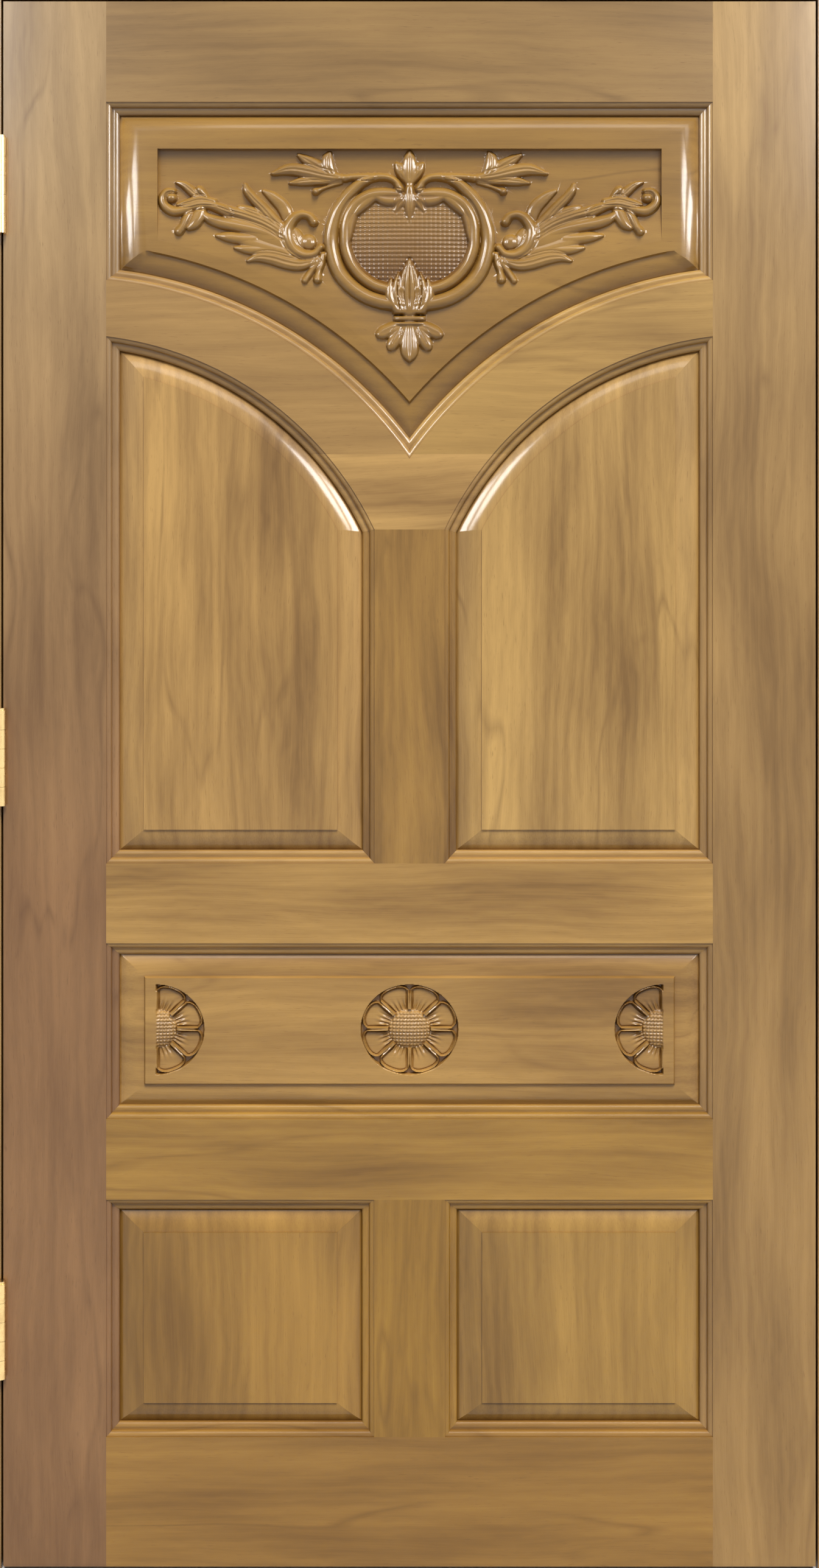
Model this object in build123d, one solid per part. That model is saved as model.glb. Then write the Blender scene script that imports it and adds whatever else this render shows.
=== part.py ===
"""A panelled teak door leaf with a carved head panel and a frieze of rosettes, hung in a plain teak
frame on three brass butt hinges. Millimetres: X to the viewer's right, Y away from the viewer, Z up.
The origin is on the floor, in the middle of the whole door's box."""
from build123d import *
import cmath
import math
import os

os.makedirs("parts", exist_ok=True)

# Leaf
leaf_width = 1067.0
leaf_height = 2057.0
leaf_thickness = 40.0
stile_face = 135.0
top_rail_face = 132.0
lock_rail_face = 105.0
cross_rail_face = 106.0
bottom_rail_face = 170.0
upper_muntin_face = 92.0
lower_muntin_face = 93.0
lower_opening_height = 312.0
frieze_opening_height = 231.0

# The Y between the head panel and the arched panels
carved_side_height = 234.0
carved_drop = 235.0
carved_arc_radius = 551.5
branch_face_at_stile = 74.0
arch_drop = 254.0
arch_arc_radius = 447.5
hub_top_over_apex = 6.0

# Moulding worked on the edges of the members
sticking_width = 16.0
quirk_width = 1.0
quirk_depth = 1.5
ovolo_radius = 6.0
fillet_width = 1.5
bead_drop = 3.0

# Panels and the groove that holds them
groove_depth = 10.0
tongue_thickness = 12.0
tongue_depth = 14.0
expansion_gap = 1.5
panel_set_back = 2.0
panel_thickness = 30.0
field_step = 2.0
side_bevel_width = 33.0
end_bevel_width = 28.0
bevel_bulge = 1.8

# The sunk ground of the head panel, and its carving as it is drawn on an opening of this half width
ground_side_inset = 67.0
ground_inset = 61.0
ground_depth = 9.0
ramp_width = 40.0
drawn_half_open = 398.5
carving_drop = 188.0
carving_root = 1.0
curve_steps = 3
cushion_half_width = 80.0
cushion_half_height = 62.0
cushion_rise = 6.0
cushion_height = 7.5
cushion_radius = 400.0

# The frieze's rosettes
rosette_half_width = 64.0
rosette_half_height = 59.0
rosette_depth = 6.5
rosette_rise = 1.5
half_rosette_inset = 64.5
petal_count = 8
petal_stations = [(27, 8.5, 2.2), (40, 13.5, 4.3), (54, 19, 5.2), (60, 14, 5.4), (62.5, 4, 4.5)]
eye_radius = 27.0
eye_height = 6.0

# Joints between the members
rail_tenon_length = 90.0
stub_tenon_length = 30.0
tenon_shoulder = 12.0
tenon_end_gap = 2.0

# Frame
jamb_face = 60.0
frame_depth = 100.0
rebate_depth = 12.0
leaf_gap = 3.0
floor_gap = 6.0
stop_gap = 1.0
head_tenon_height = 20.0
fixing_hole_radius = 4.0
fixing_end_distance = 150.0
fixing_inner_spacing = 600.0

# Hinges
hinge_height = 125.0
hinge_from_top = 180.0
hinge_from_bottom = 250.0
knuckle_count = 5
knuckle_radius = 6.0
knuckle_gap = 0.4
pin_radius = 3.0
pin_clearance = 0.05
pin_head_radius = 5.0
pin_head_height = 3.0
plate_thickness = 3.0
plate_depth = 34.0
notch_clearance = 0.5
screw_head_radius = 4.2
screw_shank_radius = 2.0
screw_length = 28.0
screw_clearance = 0.05
screw_inset = 10.0
screw_row_gap = 14.0
screw_end_distance = 14.0
screws_per_plate = 4

# Places that follow from the sizes
front_y = knuckle_radius - frame_depth / 2
half_leaf = leaf_width / 2
half_open = half_leaf - stile_face
leaf_foot = floor_gap
leaf_top = leaf_foot + leaf_height
lower_foot = leaf_foot + bottom_rail_face
lower_top = lower_foot + lower_opening_height
frieze_foot = lower_top + cross_rail_face
frieze_top = frieze_foot + frieze_opening_height
arch_foot = frieze_top + lock_rail_face
carved_top = leaf_top - top_rail_face
carved_side_foot = carved_top - carved_side_height
carved_apex = carved_side_foot - carved_drop
arch_side_top = carved_side_foot - branch_face_at_stile
arch_inner_top = arch_side_top - arch_drop
hub_top = carved_apex + hub_top_over_apex
half_muntin = upper_muntin_face / 2
half_lower_muntin = lower_muntin_face / 2
tongue_back = tongue_depth + tongue_thickness
ground_floor = panel_set_back + ground_depth
drawing_scale = half_open / drawn_half_open
carving_height = carved_top - carving_drop * drawing_scale
rosette_height = (frieze_foot + frieze_top) / 2 + rosette_rise


def face_plane(depth):
    """The plane that lies this far behind the leaf's front face, drawn as X across and Z up."""
    return Plane(origin=(0, front_y + depth, 0), x_dir=(1, 0, 0), z_dir=(0, -1, 0))


def slab(face, front, back):
    """A flat board of this outline, from one depth behind the leaf's face to another."""
    return extrude(face_plane(back) * face, amount=back - front, dir=(0, -1, 0))


def block(x_low, x_high, front, back, z_low, z_high):
    """A plain block between these limits."""
    size = (x_high - x_low, back - front, z_high - z_low)
    middle = ((x_low + x_high) / 2, front_y + (front + back) / 2, (z_low + z_high) / 2)
    return Pos(*middle) * Box(*size)


def flipped(part):
    """The same piece on the other side of the leaf's middle."""
    return mirror(part, about=Plane.YZ)


# Points on the leaf's face are complex numbers: the real part runs across and the other part up.
def unit(step):
    return step / abs(step)


def share(step, direction):
    """How far a step goes along a direction."""
    return (step * direction.conjugate()).real


class Side:
    """One side of an outline, walked with the opening on the left. A round side bulges out of the
    opening when its centre is inside, and into the opening when it isn't."""

    def __init__(self, start, end, radius=0.0, centre_inside=True):
        self.start, self.end, self.radius = start, end, radius
        self.along = unit(end - start)
        self.inward = 1j * self.along
        if radius:
            self.sign = 1 if centre_inside else -1
            reach = math.sqrt(radius**2 - abs(end - start) ** 2 / 4)
            self.centre = (start + end) / 2 + self.sign * reach * self.inward

    def inset(self, point):
        """How far a point lies inside this side."""
        if self.radius:
            return self.sign * (self.radius - abs(point - self.centre))
        return share(point - self.start, self.inward)

    def inward_at(self, point):
        if self.radius:
            return -self.sign * unit(point - self.centre)
        return self.inward

    def flipped(self):
        start, end = -self.end.conjugate(), -self.start.conjugate()
        return Side(start, end, self.radius, self.radius and self.sign > 0)

    def round_point(self, near, inset):
        """The point of a round side, moved inwards, that lies straight out towards another point."""
        return self.centre + (self.radius - self.sign * inset) * unit(near - self.centre)

    def height_at(self, across, inset):
        """How high a round side, moved inwards, stands at a place across. The side is above its centre."""
        reach = self.radius - self.sign * inset
        return self.centre.imag + math.sqrt(reach**2 - (across - self.centre.real) ** 2)

    def across_at(self, height):
        """Where a round side crosses a height, on the side of its own ends."""
        offset = math.sqrt(self.radius**2 - (height - self.centre.imag) ** 2)
        towards = math.copysign(1, (self.start + self.end).real / 2 - self.centre.real)
        return self.centre.real + towards * offset


def corner(before, after, inset, tries=8):
    """The point that lies the same distance inside two sides that meet."""
    point = after.start + inset * (before.inward + after.inward)
    for _ in range(tries):
        a, b = before.inward_at(point), after.inward_at(point)
        miss_a, miss_b = inset - before.inset(point), inset - after.inset(point)
        turn = a.real * b.imag - a.imag * b.real
        step = complex(miss_a * b.imag - miss_b * a.imag, miss_b * a.real - miss_a * b.real)
        point += step / turn
    return point


def flipped_outline(sides):
    return [side.flipped() for side in reversed(sides)]


def arc_edge(side, start, end, inset=0.0):
    """A stretch of a round side between two of its points."""
    middle = side.round_point((start + end) / 2, inset)
    return ThreePointArc(*[(p.real, p.imag) for p in (start, middle, end)])


def inset_face(sides, inset):
    """The outline moved inwards by the same distance on every side."""
    corners = [corner(sides[i - 1], side, inset) for i, side in enumerate(sides)]
    edges = []
    for side, start, end in zip(sides, corners, corners[1:] + corners[:1]):
        if side.radius:
            edges.append(arc_edge(side, start, end, inset))
        else:
            edges.append(Line((start.real, start.imag), (end.real, end.imag)))
    return make_face(edges)


def run_along(side, section, overrun=80.0):
    """A section, drawn as inset across and depth up, carried along a side and past both its ends."""
    if side.radius:
        ends = [cmath.phase(point - side.centre) for point in (side.start, side.end)]
        first = min(ends) - overrun / side.radius
        span = abs(ends[1] - ends[0]) + 2 * overrun / side.radius
        outward = cmath.rect(1, first)
        origin, across = side.centre + side.radius * outward, -side.sign * outward
    else:
        origin, across = side.end + overrun * side.along, side.inward
    place = Plane(
        origin=(origin.real, front_y, origin.imag),
        x_dir=(across.real, 0, across.imag),
        z_dir=(-across.imag, 0, across.real),
    )
    if side.radius:
        axis = Axis((side.centre.real, 0, side.centre.imag), (0, -1, 0))
        return revolve(place * section, axis=axis, revolution_arc=math.degrees(span))
    length = abs(side.end - side.start) + 2 * overrun
    return extrude(place * section, amount=length, dir=(-side.along.real, 0, -side.along.imag))


def mitred(sides, index, section, width):
    """A section carried along one side of an outline and cut to a mitre at both ends."""
    side, after = sides[index], sides[(index + 1) % len(sides)]
    inner = corner(sides[index - 1], side, width), corner(side, after, width)
    solid = run_along(side, section)
    for outer, inner_point in zip((side.start, side.end), inner):
        keep = 1j * unit(inner_point - outer)
        if share((side.start + side.end) / 2 - outer, keep) < 0:
            keep = -keep
        cut = Plane(
            origin=(outer.real, front_y, outer.imag),
            x_dir=(0, 1, 0),
            z_dir=(keep.real, 0, keep.imag),
        )
        solid = split(solid, bisect_by=cut, keep=Keep.TOP)
    return solid


# Outlines of the openings, at the outer line of their mouldings
carved_outline = [
    Side(complex(0, carved_apex), complex(half_open, carved_side_foot), carved_arc_radius, False),
    Side(complex(half_open, carved_side_foot), complex(half_open, carved_top)),
    Side(complex(half_open, carved_top), complex(-half_open, carved_top)),
    Side(complex(-half_open, carved_top), complex(-half_open, carved_side_foot)),
    Side(complex(-half_open, carved_side_foot), complex(0, carved_apex), carved_arc_radius, False),
]
left_arch_outline = [
    Side(complex(-half_open, arch_foot), complex(-half_muntin, arch_foot)),
    Side(complex(-half_muntin, arch_foot), complex(-half_muntin, arch_inner_top)),
    Side(complex(-half_muntin, arch_inner_top), complex(-half_open, arch_side_top), arch_arc_radius),
    Side(complex(-half_open, arch_side_top), complex(-half_open, arch_foot)),
]


def box_outline(x_low, x_high, z_low, z_high):
    corners = [
        complex(x_low, z_low), complex(x_high, z_low), complex(x_high, z_high), complex(x_low, z_high)
    ]
    return [Side(a, b) for a, b in zip(corners, corners[1:] + corners[:1])]


frieze_outline = box_outline(-half_open, half_open, frieze_foot, frieze_top)
left_lower_outline = box_outline(-half_open, -half_lower_muntin, lower_foot, lower_top)


def edge_profile():
    """The moulding's line from the face down to the sight edge, as inset and depth."""
    ovolo_start = (quirk_width, quirk_depth)
    ovolo_end = (quirk_width + ovolo_radius, quirk_depth + ovolo_radius)
    bead_start = (ovolo_end[0] + fillet_width, ovolo_end[1])
    bead_end = (sticking_width, ovolo_end[1] + bead_drop)
    bend = ovolo_radius * math.sqrt(0.5)
    ovolo_middle = (ovolo_start[0] + bend, ovolo_end[1] - bend)
    bead_middle = ((bead_start[0] + bead_end[0]) / 2 + 1, (bead_start[1] + bead_end[1]) / 2 - 1)
    return ovolo_start, ovolo_middle, ovolo_end, bead_start, bead_middle, bead_end


def sticking_section():
    """The moulded edge of a member, with the panel groove in its middle."""
    ovolo_start, ovolo_middle, ovolo_end, bead_start, bead_middle, bead_end = edge_profile()
    groove_floor = sticking_width - groove_depth

    def back(point):
        return point[0], leaf_thickness - point[1]

    return make_face([
        Polyline(back(ovolo_start), (0, leaf_thickness - quirk_depth), (0, quirk_depth), ovolo_start),
        ThreePointArc(ovolo_start, ovolo_middle, ovolo_end),
        Line(ovolo_end, bead_start),
        ThreePointArc(bead_start, bead_middle, bead_end),
        Polyline(
            bead_end,
            (sticking_width, tongue_depth),
            (groove_floor, tongue_depth),
            (groove_floor, tongue_back),
            (sticking_width, tongue_back),
            back(bead_end),
        ),
        ThreePointArc(back(bead_end), back(bead_middle), back(bead_start)),
        Line(back(bead_start), back(ovolo_end)),
        ThreePointArc(back(ovolo_end), back(ovolo_middle), back(ovolo_start)),
    ])


def front_bevel_section(bevel_width):
    """What is cut away in front of a panel's bevel: steep at the moulding, flatter at the field."""
    field_inset = sticking_width + bevel_width
    top, air = (field_inset, panel_set_back + field_step), -leaf_thickness
    middle = (
        sticking_width + bevel_width / 2 - bevel_bulge / 2,
        (tongue_depth + top[1]) / 2 - bevel_bulge,
    )
    foot = (sticking_width, tongue_depth)
    return make_face([
        Polyline(foot, (-sticking_width, tongue_depth), (-sticking_width, air), (field_inset, air), top),
        ThreePointArc(top, middle, foot),
    ])


def back_bevel_section(bevel_width):
    """What is cut away behind a panel's plain back bevel."""
    back = panel_set_back + panel_thickness
    field_inset, air = sticking_width + bevel_width, back + leaf_thickness
    return make_face(Polyline(
        (sticking_width, tongue_back),
        (-sticking_width, tongue_back),
        (-sticking_width, air),
        (field_inset, air),
        (field_inset, back),
        close=True,
    ))


def bevel_width_of(side):
    """Upright sides have the wider bevel, level and round ones the narrower."""
    upright = not side.radius and abs(side.along.imag) > abs(side.along.real)
    return side_bevel_width if upright else end_bevel_width


def raised_panel(outline):
    """A panel with a tongue in the groove and a bevel up to its field, front and back."""
    edge_inset = sticking_width - groove_depth + expansion_gap
    panel = slab(inset_face(outline, edge_inset), panel_set_back, panel_set_back + panel_thickness)
    for side in outline:
        panel -= run_along(side, front_bevel_section(bevel_width_of(side)))
        panel -= run_along(side, back_bevel_section(bevel_width_of(side)))
    return panel


def ground_outline(outline):
    """The line of the head panel's sunk ground, which lies further in at the upright sides."""
    arc = outline[0]
    half, top = outline[1].start.real - ground_side_inset, outline[2].start.imag - ground_inset
    radius = arc.radius + ground_inset
    apex = complex(0, arc.height_at(0, ground_inset))
    foot = complex(half, arc.height_at(half, ground_inset))
    other_foot = -foot.conjugate()
    return [
        Side(apex, foot, radius, False),
        Side(foot, complex(half, top)),
        Side(complex(half, top), complex(-half, top)),
        Side(complex(-half, top), other_foot),
        Side(other_foot, apex, radius, False),
    ]


def sunk_ground(outline):
    """What is cut out of the head panel: a sunk ground that ramps up to the border at its foot."""
    sides = ground_outline(outline)
    ground = slab(inset_face(sides, 0), -ground_depth, ground_floor)
    ramp = make_face(Polyline(
        (-ramp_width, ground_floor),
        (-ramp_width, panel_set_back),
        (0, panel_set_back),
        (ramp_width, ground_floor),
        close=True,
    ))
    for side in sides:
        if side.radius:
            ground -= run_along(side, ramp)
    return ground


# Carving. A stroke is a run of (across, up, half width, height), and its section is drawn as shares
# of the half width and the height.
stroke_sections = {
    "round": [(-1, 0), (-0.75, 0.66), (0, 1), (0.75, 0.66), (1, 0)],
    "leaf": [(-1, 0), (-0.55, 0.9), (0, 0.72), (0.55, 0.9), (1, 0)],
    "petal": [(-1, 0), (-0.85, 1), (0, 0.6), (0.85, 1), (1, 0)],
}
middle_strokes = [
    ("leaf", [(0, 80, 6, 7), (0, 98, 11, 8.5), (0, 112, 9, 8), (0, 123, 3, 5.5)]),
    ("leaf", [(0, 76, 6, 8), (0, 60, 8.5, 9), (0, 45, 7, 8), (0, 32, 1.5, 5.5)]),
    ("leaf", [(0, -84, 13, 8.4), (0, -58, 17, 9), (0, -38, 12.5, 9), (0, -18.5, 2, 7)]),
    ("leaf", [(0, -103, 9, 7.5), (0, -122, 11.5, 9), (0, -138, 12.5, 9), (0, -150, 4.5, 8)]),
    ("round", [(-23, -86.5, 5, 9), (23, -86.5, 5, 9)]),
    ("round", [(-22, -96.5, 4.2, 8.4), (22, -96.5, 4.2, 8.4)]),
]
side_strokes = [
    # The ring: an outer and an inner band, and curls under its top
    ("curve", [
        (13, 74, 6.5, 9), (29, 90.5, 4.6, 8.5), (47, 90.5, 5.2, 8.5), (75, 73.5, 7.2, 8.7),
        (97.5, 40, 8.6, 9), (104.5, 4, 9, 9), (95, -32, 9.2, 9), (59.5, -66.5, 9.2, 9), (8, -77.5, 9.2, 9),
    ]),
    ("curve", [
        (14, 66, 6.5, 7), (47, 66.5, 8.5, 7.4), (72.5, 54, 7.6, 7.8), (85.5, 29.5, 7.2, 8),
        (85, -3, 7.2, 8), (66.5, -38, 7.5, 8), (31, -57, 7.6, 8), (8, -58.5, 7.6, 8),
    ]),
    ("leaf", [(66, 58, 6, 7.6), (64, 50, 6, 7.2), (62, 44, 3, 5.5)]),
    ("leaf", [(50, 64, 7, 7.6), (46, 54, 7, 7.2), (43, 46, 3, 5.5)]),
    ("leaf", [(32, 64, 7, 7.6), (28, 54, 7, 7.2), (27, 44, 3, 5.5)]),
    # The crest and the sprays over the ring
    ("leaf", [(2, 88, 8, 6), (10, 99, 9, 7), (17, 107, 3.5, 5)]),
    ("leaf", [(2, 68, 6, 6.5), (11, 58, 7, 7.5), (19, 46, 3, 5.5)]),
    ("leaf", [(92, 87, 5, 5), (118, 86.5, 7, 6.5), (140, 85, 6.5, 6.2), (157, 82.5, 2.5, 5.5)]),
    ("leaf", [(106, 93, 6, 5.5), (120, 103, 9, 6.8), (133, 111, 7.5, 6.8), (146, 119, 3, 5.5)]),
    ("leaf", [(100, 91, 6, 6), (107, 102, 9.5, 8.5), (108, 114, 8, 7.5), (105, 122, 3, 5.5)]),
    ("leaf", [(50, 91, 5, 8), (84, 88.5, 5, 7.5), (136, 98, 9, 8), (180, 95, 3, 6.5)]),
    ("round", [(90, 82, 3.5, 4.5), (107, 77.5, 3.8, 5), (118, 73.5, 4.2, 6), (126, 70.5, 5, 8)]),
    # The acanthus at the ring's side
    ("leaf", [(156, 30, 8, 5), (168, 48, 10, 6), (185, 65, 8.5, 6), (205, 78.5, 3, 4.5)]),
    ("leaf", [(181, 30, 9, 5.5), (201, 42, 9.5, 6.6), (224, 50, 3, 5.5)]),
    ("leaf", [(163, 22, 8, 6.5), (179, 40, 10, 7.8), (196, 59, 9, 7.8), (214, 80, 3.5, 6.5)]),
    ("leaf", [(166, 17, 8, 6), (194, 33, 11, 7.2), (226, 45, 10, 7.2), (270, 57.5, 5, 6.5)]),
    ("leaf", [(168, -6, 9, 5), (200, -2.5, 11, 6.2), (229, -3.5, 3, 5.5)]),
    ("leaf", [(190, 5, 11, 5.5), (226, 10, 11.5, 6.6), (253, 12.5, 3, 5.5)]),
    ("leaf", [
        (158, -5, 8, 6.5), (188, 8, 14, 7.8), (220, 20, 14, 8.6), (251, 28.5, 10, 8.4), (272, 43, 3, 6.5),
    ]),
    ("leaf", [(124, -14, 6, 6), (152, -25, 11.5, 8), (185, -20, 9.5, 7.6), (213, -20.5, 3, 5.5)]),
    # The C-shaped scroll and the drops under it
    ("curve", [
        (126.5, 31.5, 6.5, 9), (142, 41, 5.8, 8.8), (160, 23, 8.2, 9), (152, -4.5, 7.8, 9),
        (126, -11, 5.6, 8.2), (117, -2, 5.2, 8),
    ]),
    ("round", [(123, 4, 7, 5.5), (132.5, 4, 10, 5.8), (142, 4, 7, 5.5)]),
    ("round", [(114, -12, 4.5, 7), (116, -24, 4.8, 7), (121, -45, 6.2, 8.8), (122, -52, 2, 6)]),
    ("round", [(121, -22, 4.2, 6), (130, -35, 4.6, 6.2), (137.5, -46.5, 4.8, 7), (141, -52, 2, 5)]),
    # The scroll at the end, with its leaves
    ("leaf", [(272, 48, 5, 6), (272, 36, 8.5, 7.2), (278, 20, 7, 8)]),
    ("leaf", [(280, 47, 5, 6.5), (290, 34, 6.5, 7.2), (301, 15, 4, 8.5)]),
    ("leaf", [(266, 55, 5, 6.5), (284, 67, 7.5, 7.6), (304.5, 82.5, 2.5, 5.5)]),
    ("round", [(259, 55, 4.5, 6), (268, 63.5, 6, 7), (275.5, 72, 8, 9), (278, 79, 3, 7)]),
    ("curve", [
        (239, 42, 6, 7), (263, 54, 7, 8.4), (299, 49, 6.8, 9), (318, 53, 5.6, 9), (322, 65, 4.4, 8.8),
        (313, 72, 3.4, 8),
    ]),
    ("round", [(304, 62, 2, 4), (310, 63, 5, 8), (316, 64, 2, 4)]),
    # The plume's and the palmette's side leaves
    ("leaf", [(18, -84, 6, 7), (29, -67, 7, 7.6), (26, -50, 3, 6)]),
    ("leaf", [(12, -84, 7, 8), (21, -64, 8, 8.8), (18, -42, 3, 6.8)]),
    ("leaf", [(8, -103, 6, 6.5), (21, -109, 8.5, 7.5), (33, -115, 9, 8), (41, -118, 4, 7)]),
    ("leaf", [(5, -103, 7, 7), (14, -117, 9.5, 8), (22, -130, 8.5, 8.2), (26, -138, 3.5, 7)]),
]


def on_smooth_run(before, start, end, after, t):
    """A value part of the way from start to end, on a smooth run that also heeds its neighbours."""
    bend = (2 * before - 5 * start + 4 * end - after) * t**2
    twist = (3 * start - before - 3 * end + after) * t**3
    return (2 * start + (end - before) * t + bend + twist) / 2


def smoothed(points):
    """More points on a smooth run through the given ones."""
    first = tuple(2 * a - b for a, b in zip(points[0], points[1]))
    last = tuple(2 * a - b for a, b in zip(points[-1], points[-2]))
    run = [first, *points, last]
    smooth = []
    for four in zip(run, run[1:], run[2:], run[3:]):
        for step in range(curve_steps):
            smooth.append(tuple(on_smooth_run(*values, step / curve_steps) for values in zip(*four)))
    return smooth + [points[-1]]


def carve(kind, points, floor, middle, scale=1.0):
    """One stroke, lofted from section to section over a floor at this depth. Points count from the
    middle of the drawing, and the stroke's root lies a little under the floor."""
    if kind == "curve":
        kind, points = "round", smoothed(points)
    places = [middle + scale * complex(across, up) for across, up, _, _ in points]
    sections = []
    for index, (place, (_, _, half_width, height)) in enumerate(zip(places, points)):
        ahead = unit(places[min(index + 1, len(places) - 1)] - places[max(index - 1, 0)])
        over = Plane(
            origin=(place.real, front_y + floor + carving_root, place.imag),
            x_dir=(-ahead.imag, 0, ahead.real),
            z_dir=(ahead.real, 0, ahead.imag),
        )
        line = [
            (share_across * half_width * scale, share_up * (height * scale + carving_root))
            for share_across, share_up in stroke_sections[kind]
        ]
        sections.append(over * make_face(Polyline(*line, close=True)))
    return loft(sections, ruled=True)


def dome(middle, radius, rise, face, floor):
    """A low dome over a floor at this depth, cut from a ball and kept inside an outline."""
    ball = Pos(middle.real, front_y + floor - rise + radius, middle.imag) * Sphere(radius)
    return slab(Pos(middle.real, middle.imag) * face, 0, floor + carving_root) & ball


def head_carving():
    """The head panel's carving: the strokes on its middle line, and the others on both sides of it."""
    middle = complex(0, carving_height)
    pad = Ellipse(cushion_half_width * drawing_scale, cushion_half_height * drawing_scale)
    pad_middle = middle + complex(0, cushion_rise * drawing_scale)
    height = cushion_height * drawing_scale
    solids = [dome(pad_middle, cushion_radius * drawing_scale, height, pad, ground_floor)]
    for kind, points in middle_strokes:
        solids.append(carve(kind, points, ground_floor, middle, drawing_scale))
    for kind, points in side_strokes:
        stroke = carve(kind, points, ground_floor, middle, drawing_scale)
        solids += [stroke, flipped(stroke)]
    return solids


def rosette(middle, first_petal=0, petals=petal_count):
    """One rosette's recess, and the petals and eye that stand in it. A half one has half the petals,
    and an upright wall through its middle."""
    floor = panel_set_back + rosette_depth
    oval = Pos(middle.real, middle.imag) * Ellipse(rosette_half_width, rosette_half_height)
    recess = slab(oval, 0, floor)
    ball_radius = (eye_radius**2 + eye_height**2) / (2 * eye_height)
    eye = dome(middle, ball_radius, eye_height, Circle(eye_radius), floor)
    if petals < petal_count:
        inward = (-math.copysign(1, middle.real), 0, 0)
        wall = Plane(origin=(middle.real, front_y, middle.imag), z_dir=inward)
        recess = split(recess, bisect_by=wall, keep=Keep.TOP)
        eye = split(eye, bisect_by=wall, keep=Keep.TOP)
    relief = [eye]
    for petal in range(first_petal, first_petal + petals):
        angle = 2 * math.pi * (petal + 0.5) / petal_count
        across, up = math.cos(angle), math.sin(angle) * rosette_half_height / rosette_half_width
        stations = [
            (radius * across, radius * up, half_width, height)
            for radius, half_width, height in petal_stations
        ]
        relief.append(carve("petal", stations, floor, middle))
    return recess, relief


def with_rosettes(panel):
    """The frieze panel with a whole rosette in its middle and a half one at each end."""
    reach, half_petals = half_open - half_rosette_inset, petal_count // 2
    first = petal_count // 4
    places = [
        rosette(complex(0, rosette_height)),
        rosette(complex(reach, rosette_height), first, half_petals),
        rosette(complex(-reach, rosette_height), -first, half_petals),
    ]
    for recess, relief in places:
        panel = panel - recess + relief
    return panel


# The members, each with its flat board first
half_carved_arc = carved_outline[-1]
arch_arc = left_arch_outline[2]
branch_toe = complex(half_carved_arc.across_at(hub_top), hub_top)
branch_heel = complex(arch_arc.across_at(hub_top), hub_top)

left_branch_face = make_face([
    Polyline(
        (branch_toe.real, hub_top), (branch_heel.real, hub_top)
    ),
    arc_edge(arch_arc, branch_heel, arch_arc.end),
    Line((-half_open, arch_side_top), (-half_open, carved_side_foot)),
    arc_edge(half_carved_arc, half_carved_arc.start, branch_toe),
])
right_toe, right_heel = -branch_toe.conjugate(), -branch_heel.conjugate()
hub_face = make_face([
    arc_edge(half_carved_arc, branch_toe, complex(0, carved_apex)),
    arc_edge(carved_outline[0], complex(0, carved_apex), right_toe),
    Line((right_toe.real, hub_top), (right_heel.real, hub_top)),
    arc_edge(arch_arc.flipped(), right_heel, complex(half_muntin, arch_inner_top)),
    Line((half_muntin, arch_inner_top), (-half_muntin, arch_inner_top)),
    arc_edge(arch_arc, complex(-half_muntin, arch_inner_top), branch_heel),
    Line((branch_heel.real, hub_top), (branch_toe.real, hub_top)),
])


def board(x_low, x_high, z_low, z_high):
    return block(x_low, x_high, 0, leaf_thickness, z_low, z_high)


members = {
    "left_stile": board(-half_leaf, -half_open, leaf_foot, leaf_top),
    "right_stile": board(half_open, half_leaf, leaf_foot, leaf_top),
    "top_rail": board(-half_open, half_open, carved_top, leaf_top),
    "left_branch": slab(left_branch_face, 0, leaf_thickness),
    "right_branch": flipped(slab(left_branch_face, 0, leaf_thickness)),
    "branch_hub": slab(hub_face, 0, leaf_thickness),
    "upper_muntin": board(-half_muntin, half_muntin, arch_foot, arch_inner_top),
    "lock_rail": board(-half_open, half_open, frieze_top, arch_foot),
    "cross_rail": board(-half_open, half_open, lower_top, frieze_foot),
    "lower_muntin": board(-half_lower_muntin, half_lower_muntin, lower_foot, lower_top),
    "bottom_rail": board(-half_open, half_open, leaf_foot, lower_foot),
}

# Their moulded edges, one for each side of each opening
right_arch_outline = flipped_outline(left_arch_outline)
right_lower_outline = flipped_outline(left_lower_outline)
section = sticking_section()
openings = [
    (carved_outline, ["right_branch", "right_stile", "top_rail", "left_stile", "left_branch"]),
    (left_arch_outline, ["lock_rail", "upper_muntin", "left_branch", "left_stile"]),
    (right_arch_outline, ["right_stile", "right_branch", "upper_muntin", "lock_rail"]),
    (frieze_outline, ["cross_rail", "right_stile", "lock_rail", "left_stile"]),
    (left_lower_outline, ["bottom_rail", "lower_muntin", "cross_rail", "left_stile"]),
    (right_lower_outline, ["right_stile", "cross_rail", "lower_muntin", "bottom_rail"]),
]
hub_seam = Plane(origin=(0, front_y, hub_top), z_dir=(0, 0, 1))
for outline, owners in openings:
    for index, owner in enumerate(owners):
        strip = mitred(outline, index, section, sticking_width)
        if outline[index].radius and outline is not carved_outline:
            members["branch_hub"] += split(strip, bisect_by=hub_seam, keep=Keep.BOTTOM)
            strip = split(strip, bisect_by=hub_seam, keep=Keep.TOP)
        members[owner] += strip


def tenon(member, host, x_span, z_span, end_gap):
    """A tenon on one member and its mortise in another. The end gap is a step past the tenon's end."""
    low, high = complex(x_span[0], z_span[0]), complex(x_span[1], z_span[1])
    members[member] += block(low.real, high.real, tongue_depth, tongue_back, low.imag, high.imag)
    if end_gap.real + end_gap.imag < 0:
        low += end_gap
    else:
        high += end_gap
    members[host] -= block(low.real, high.real, tongue_depth, tongue_back, low.imag, high.imag)


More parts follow.
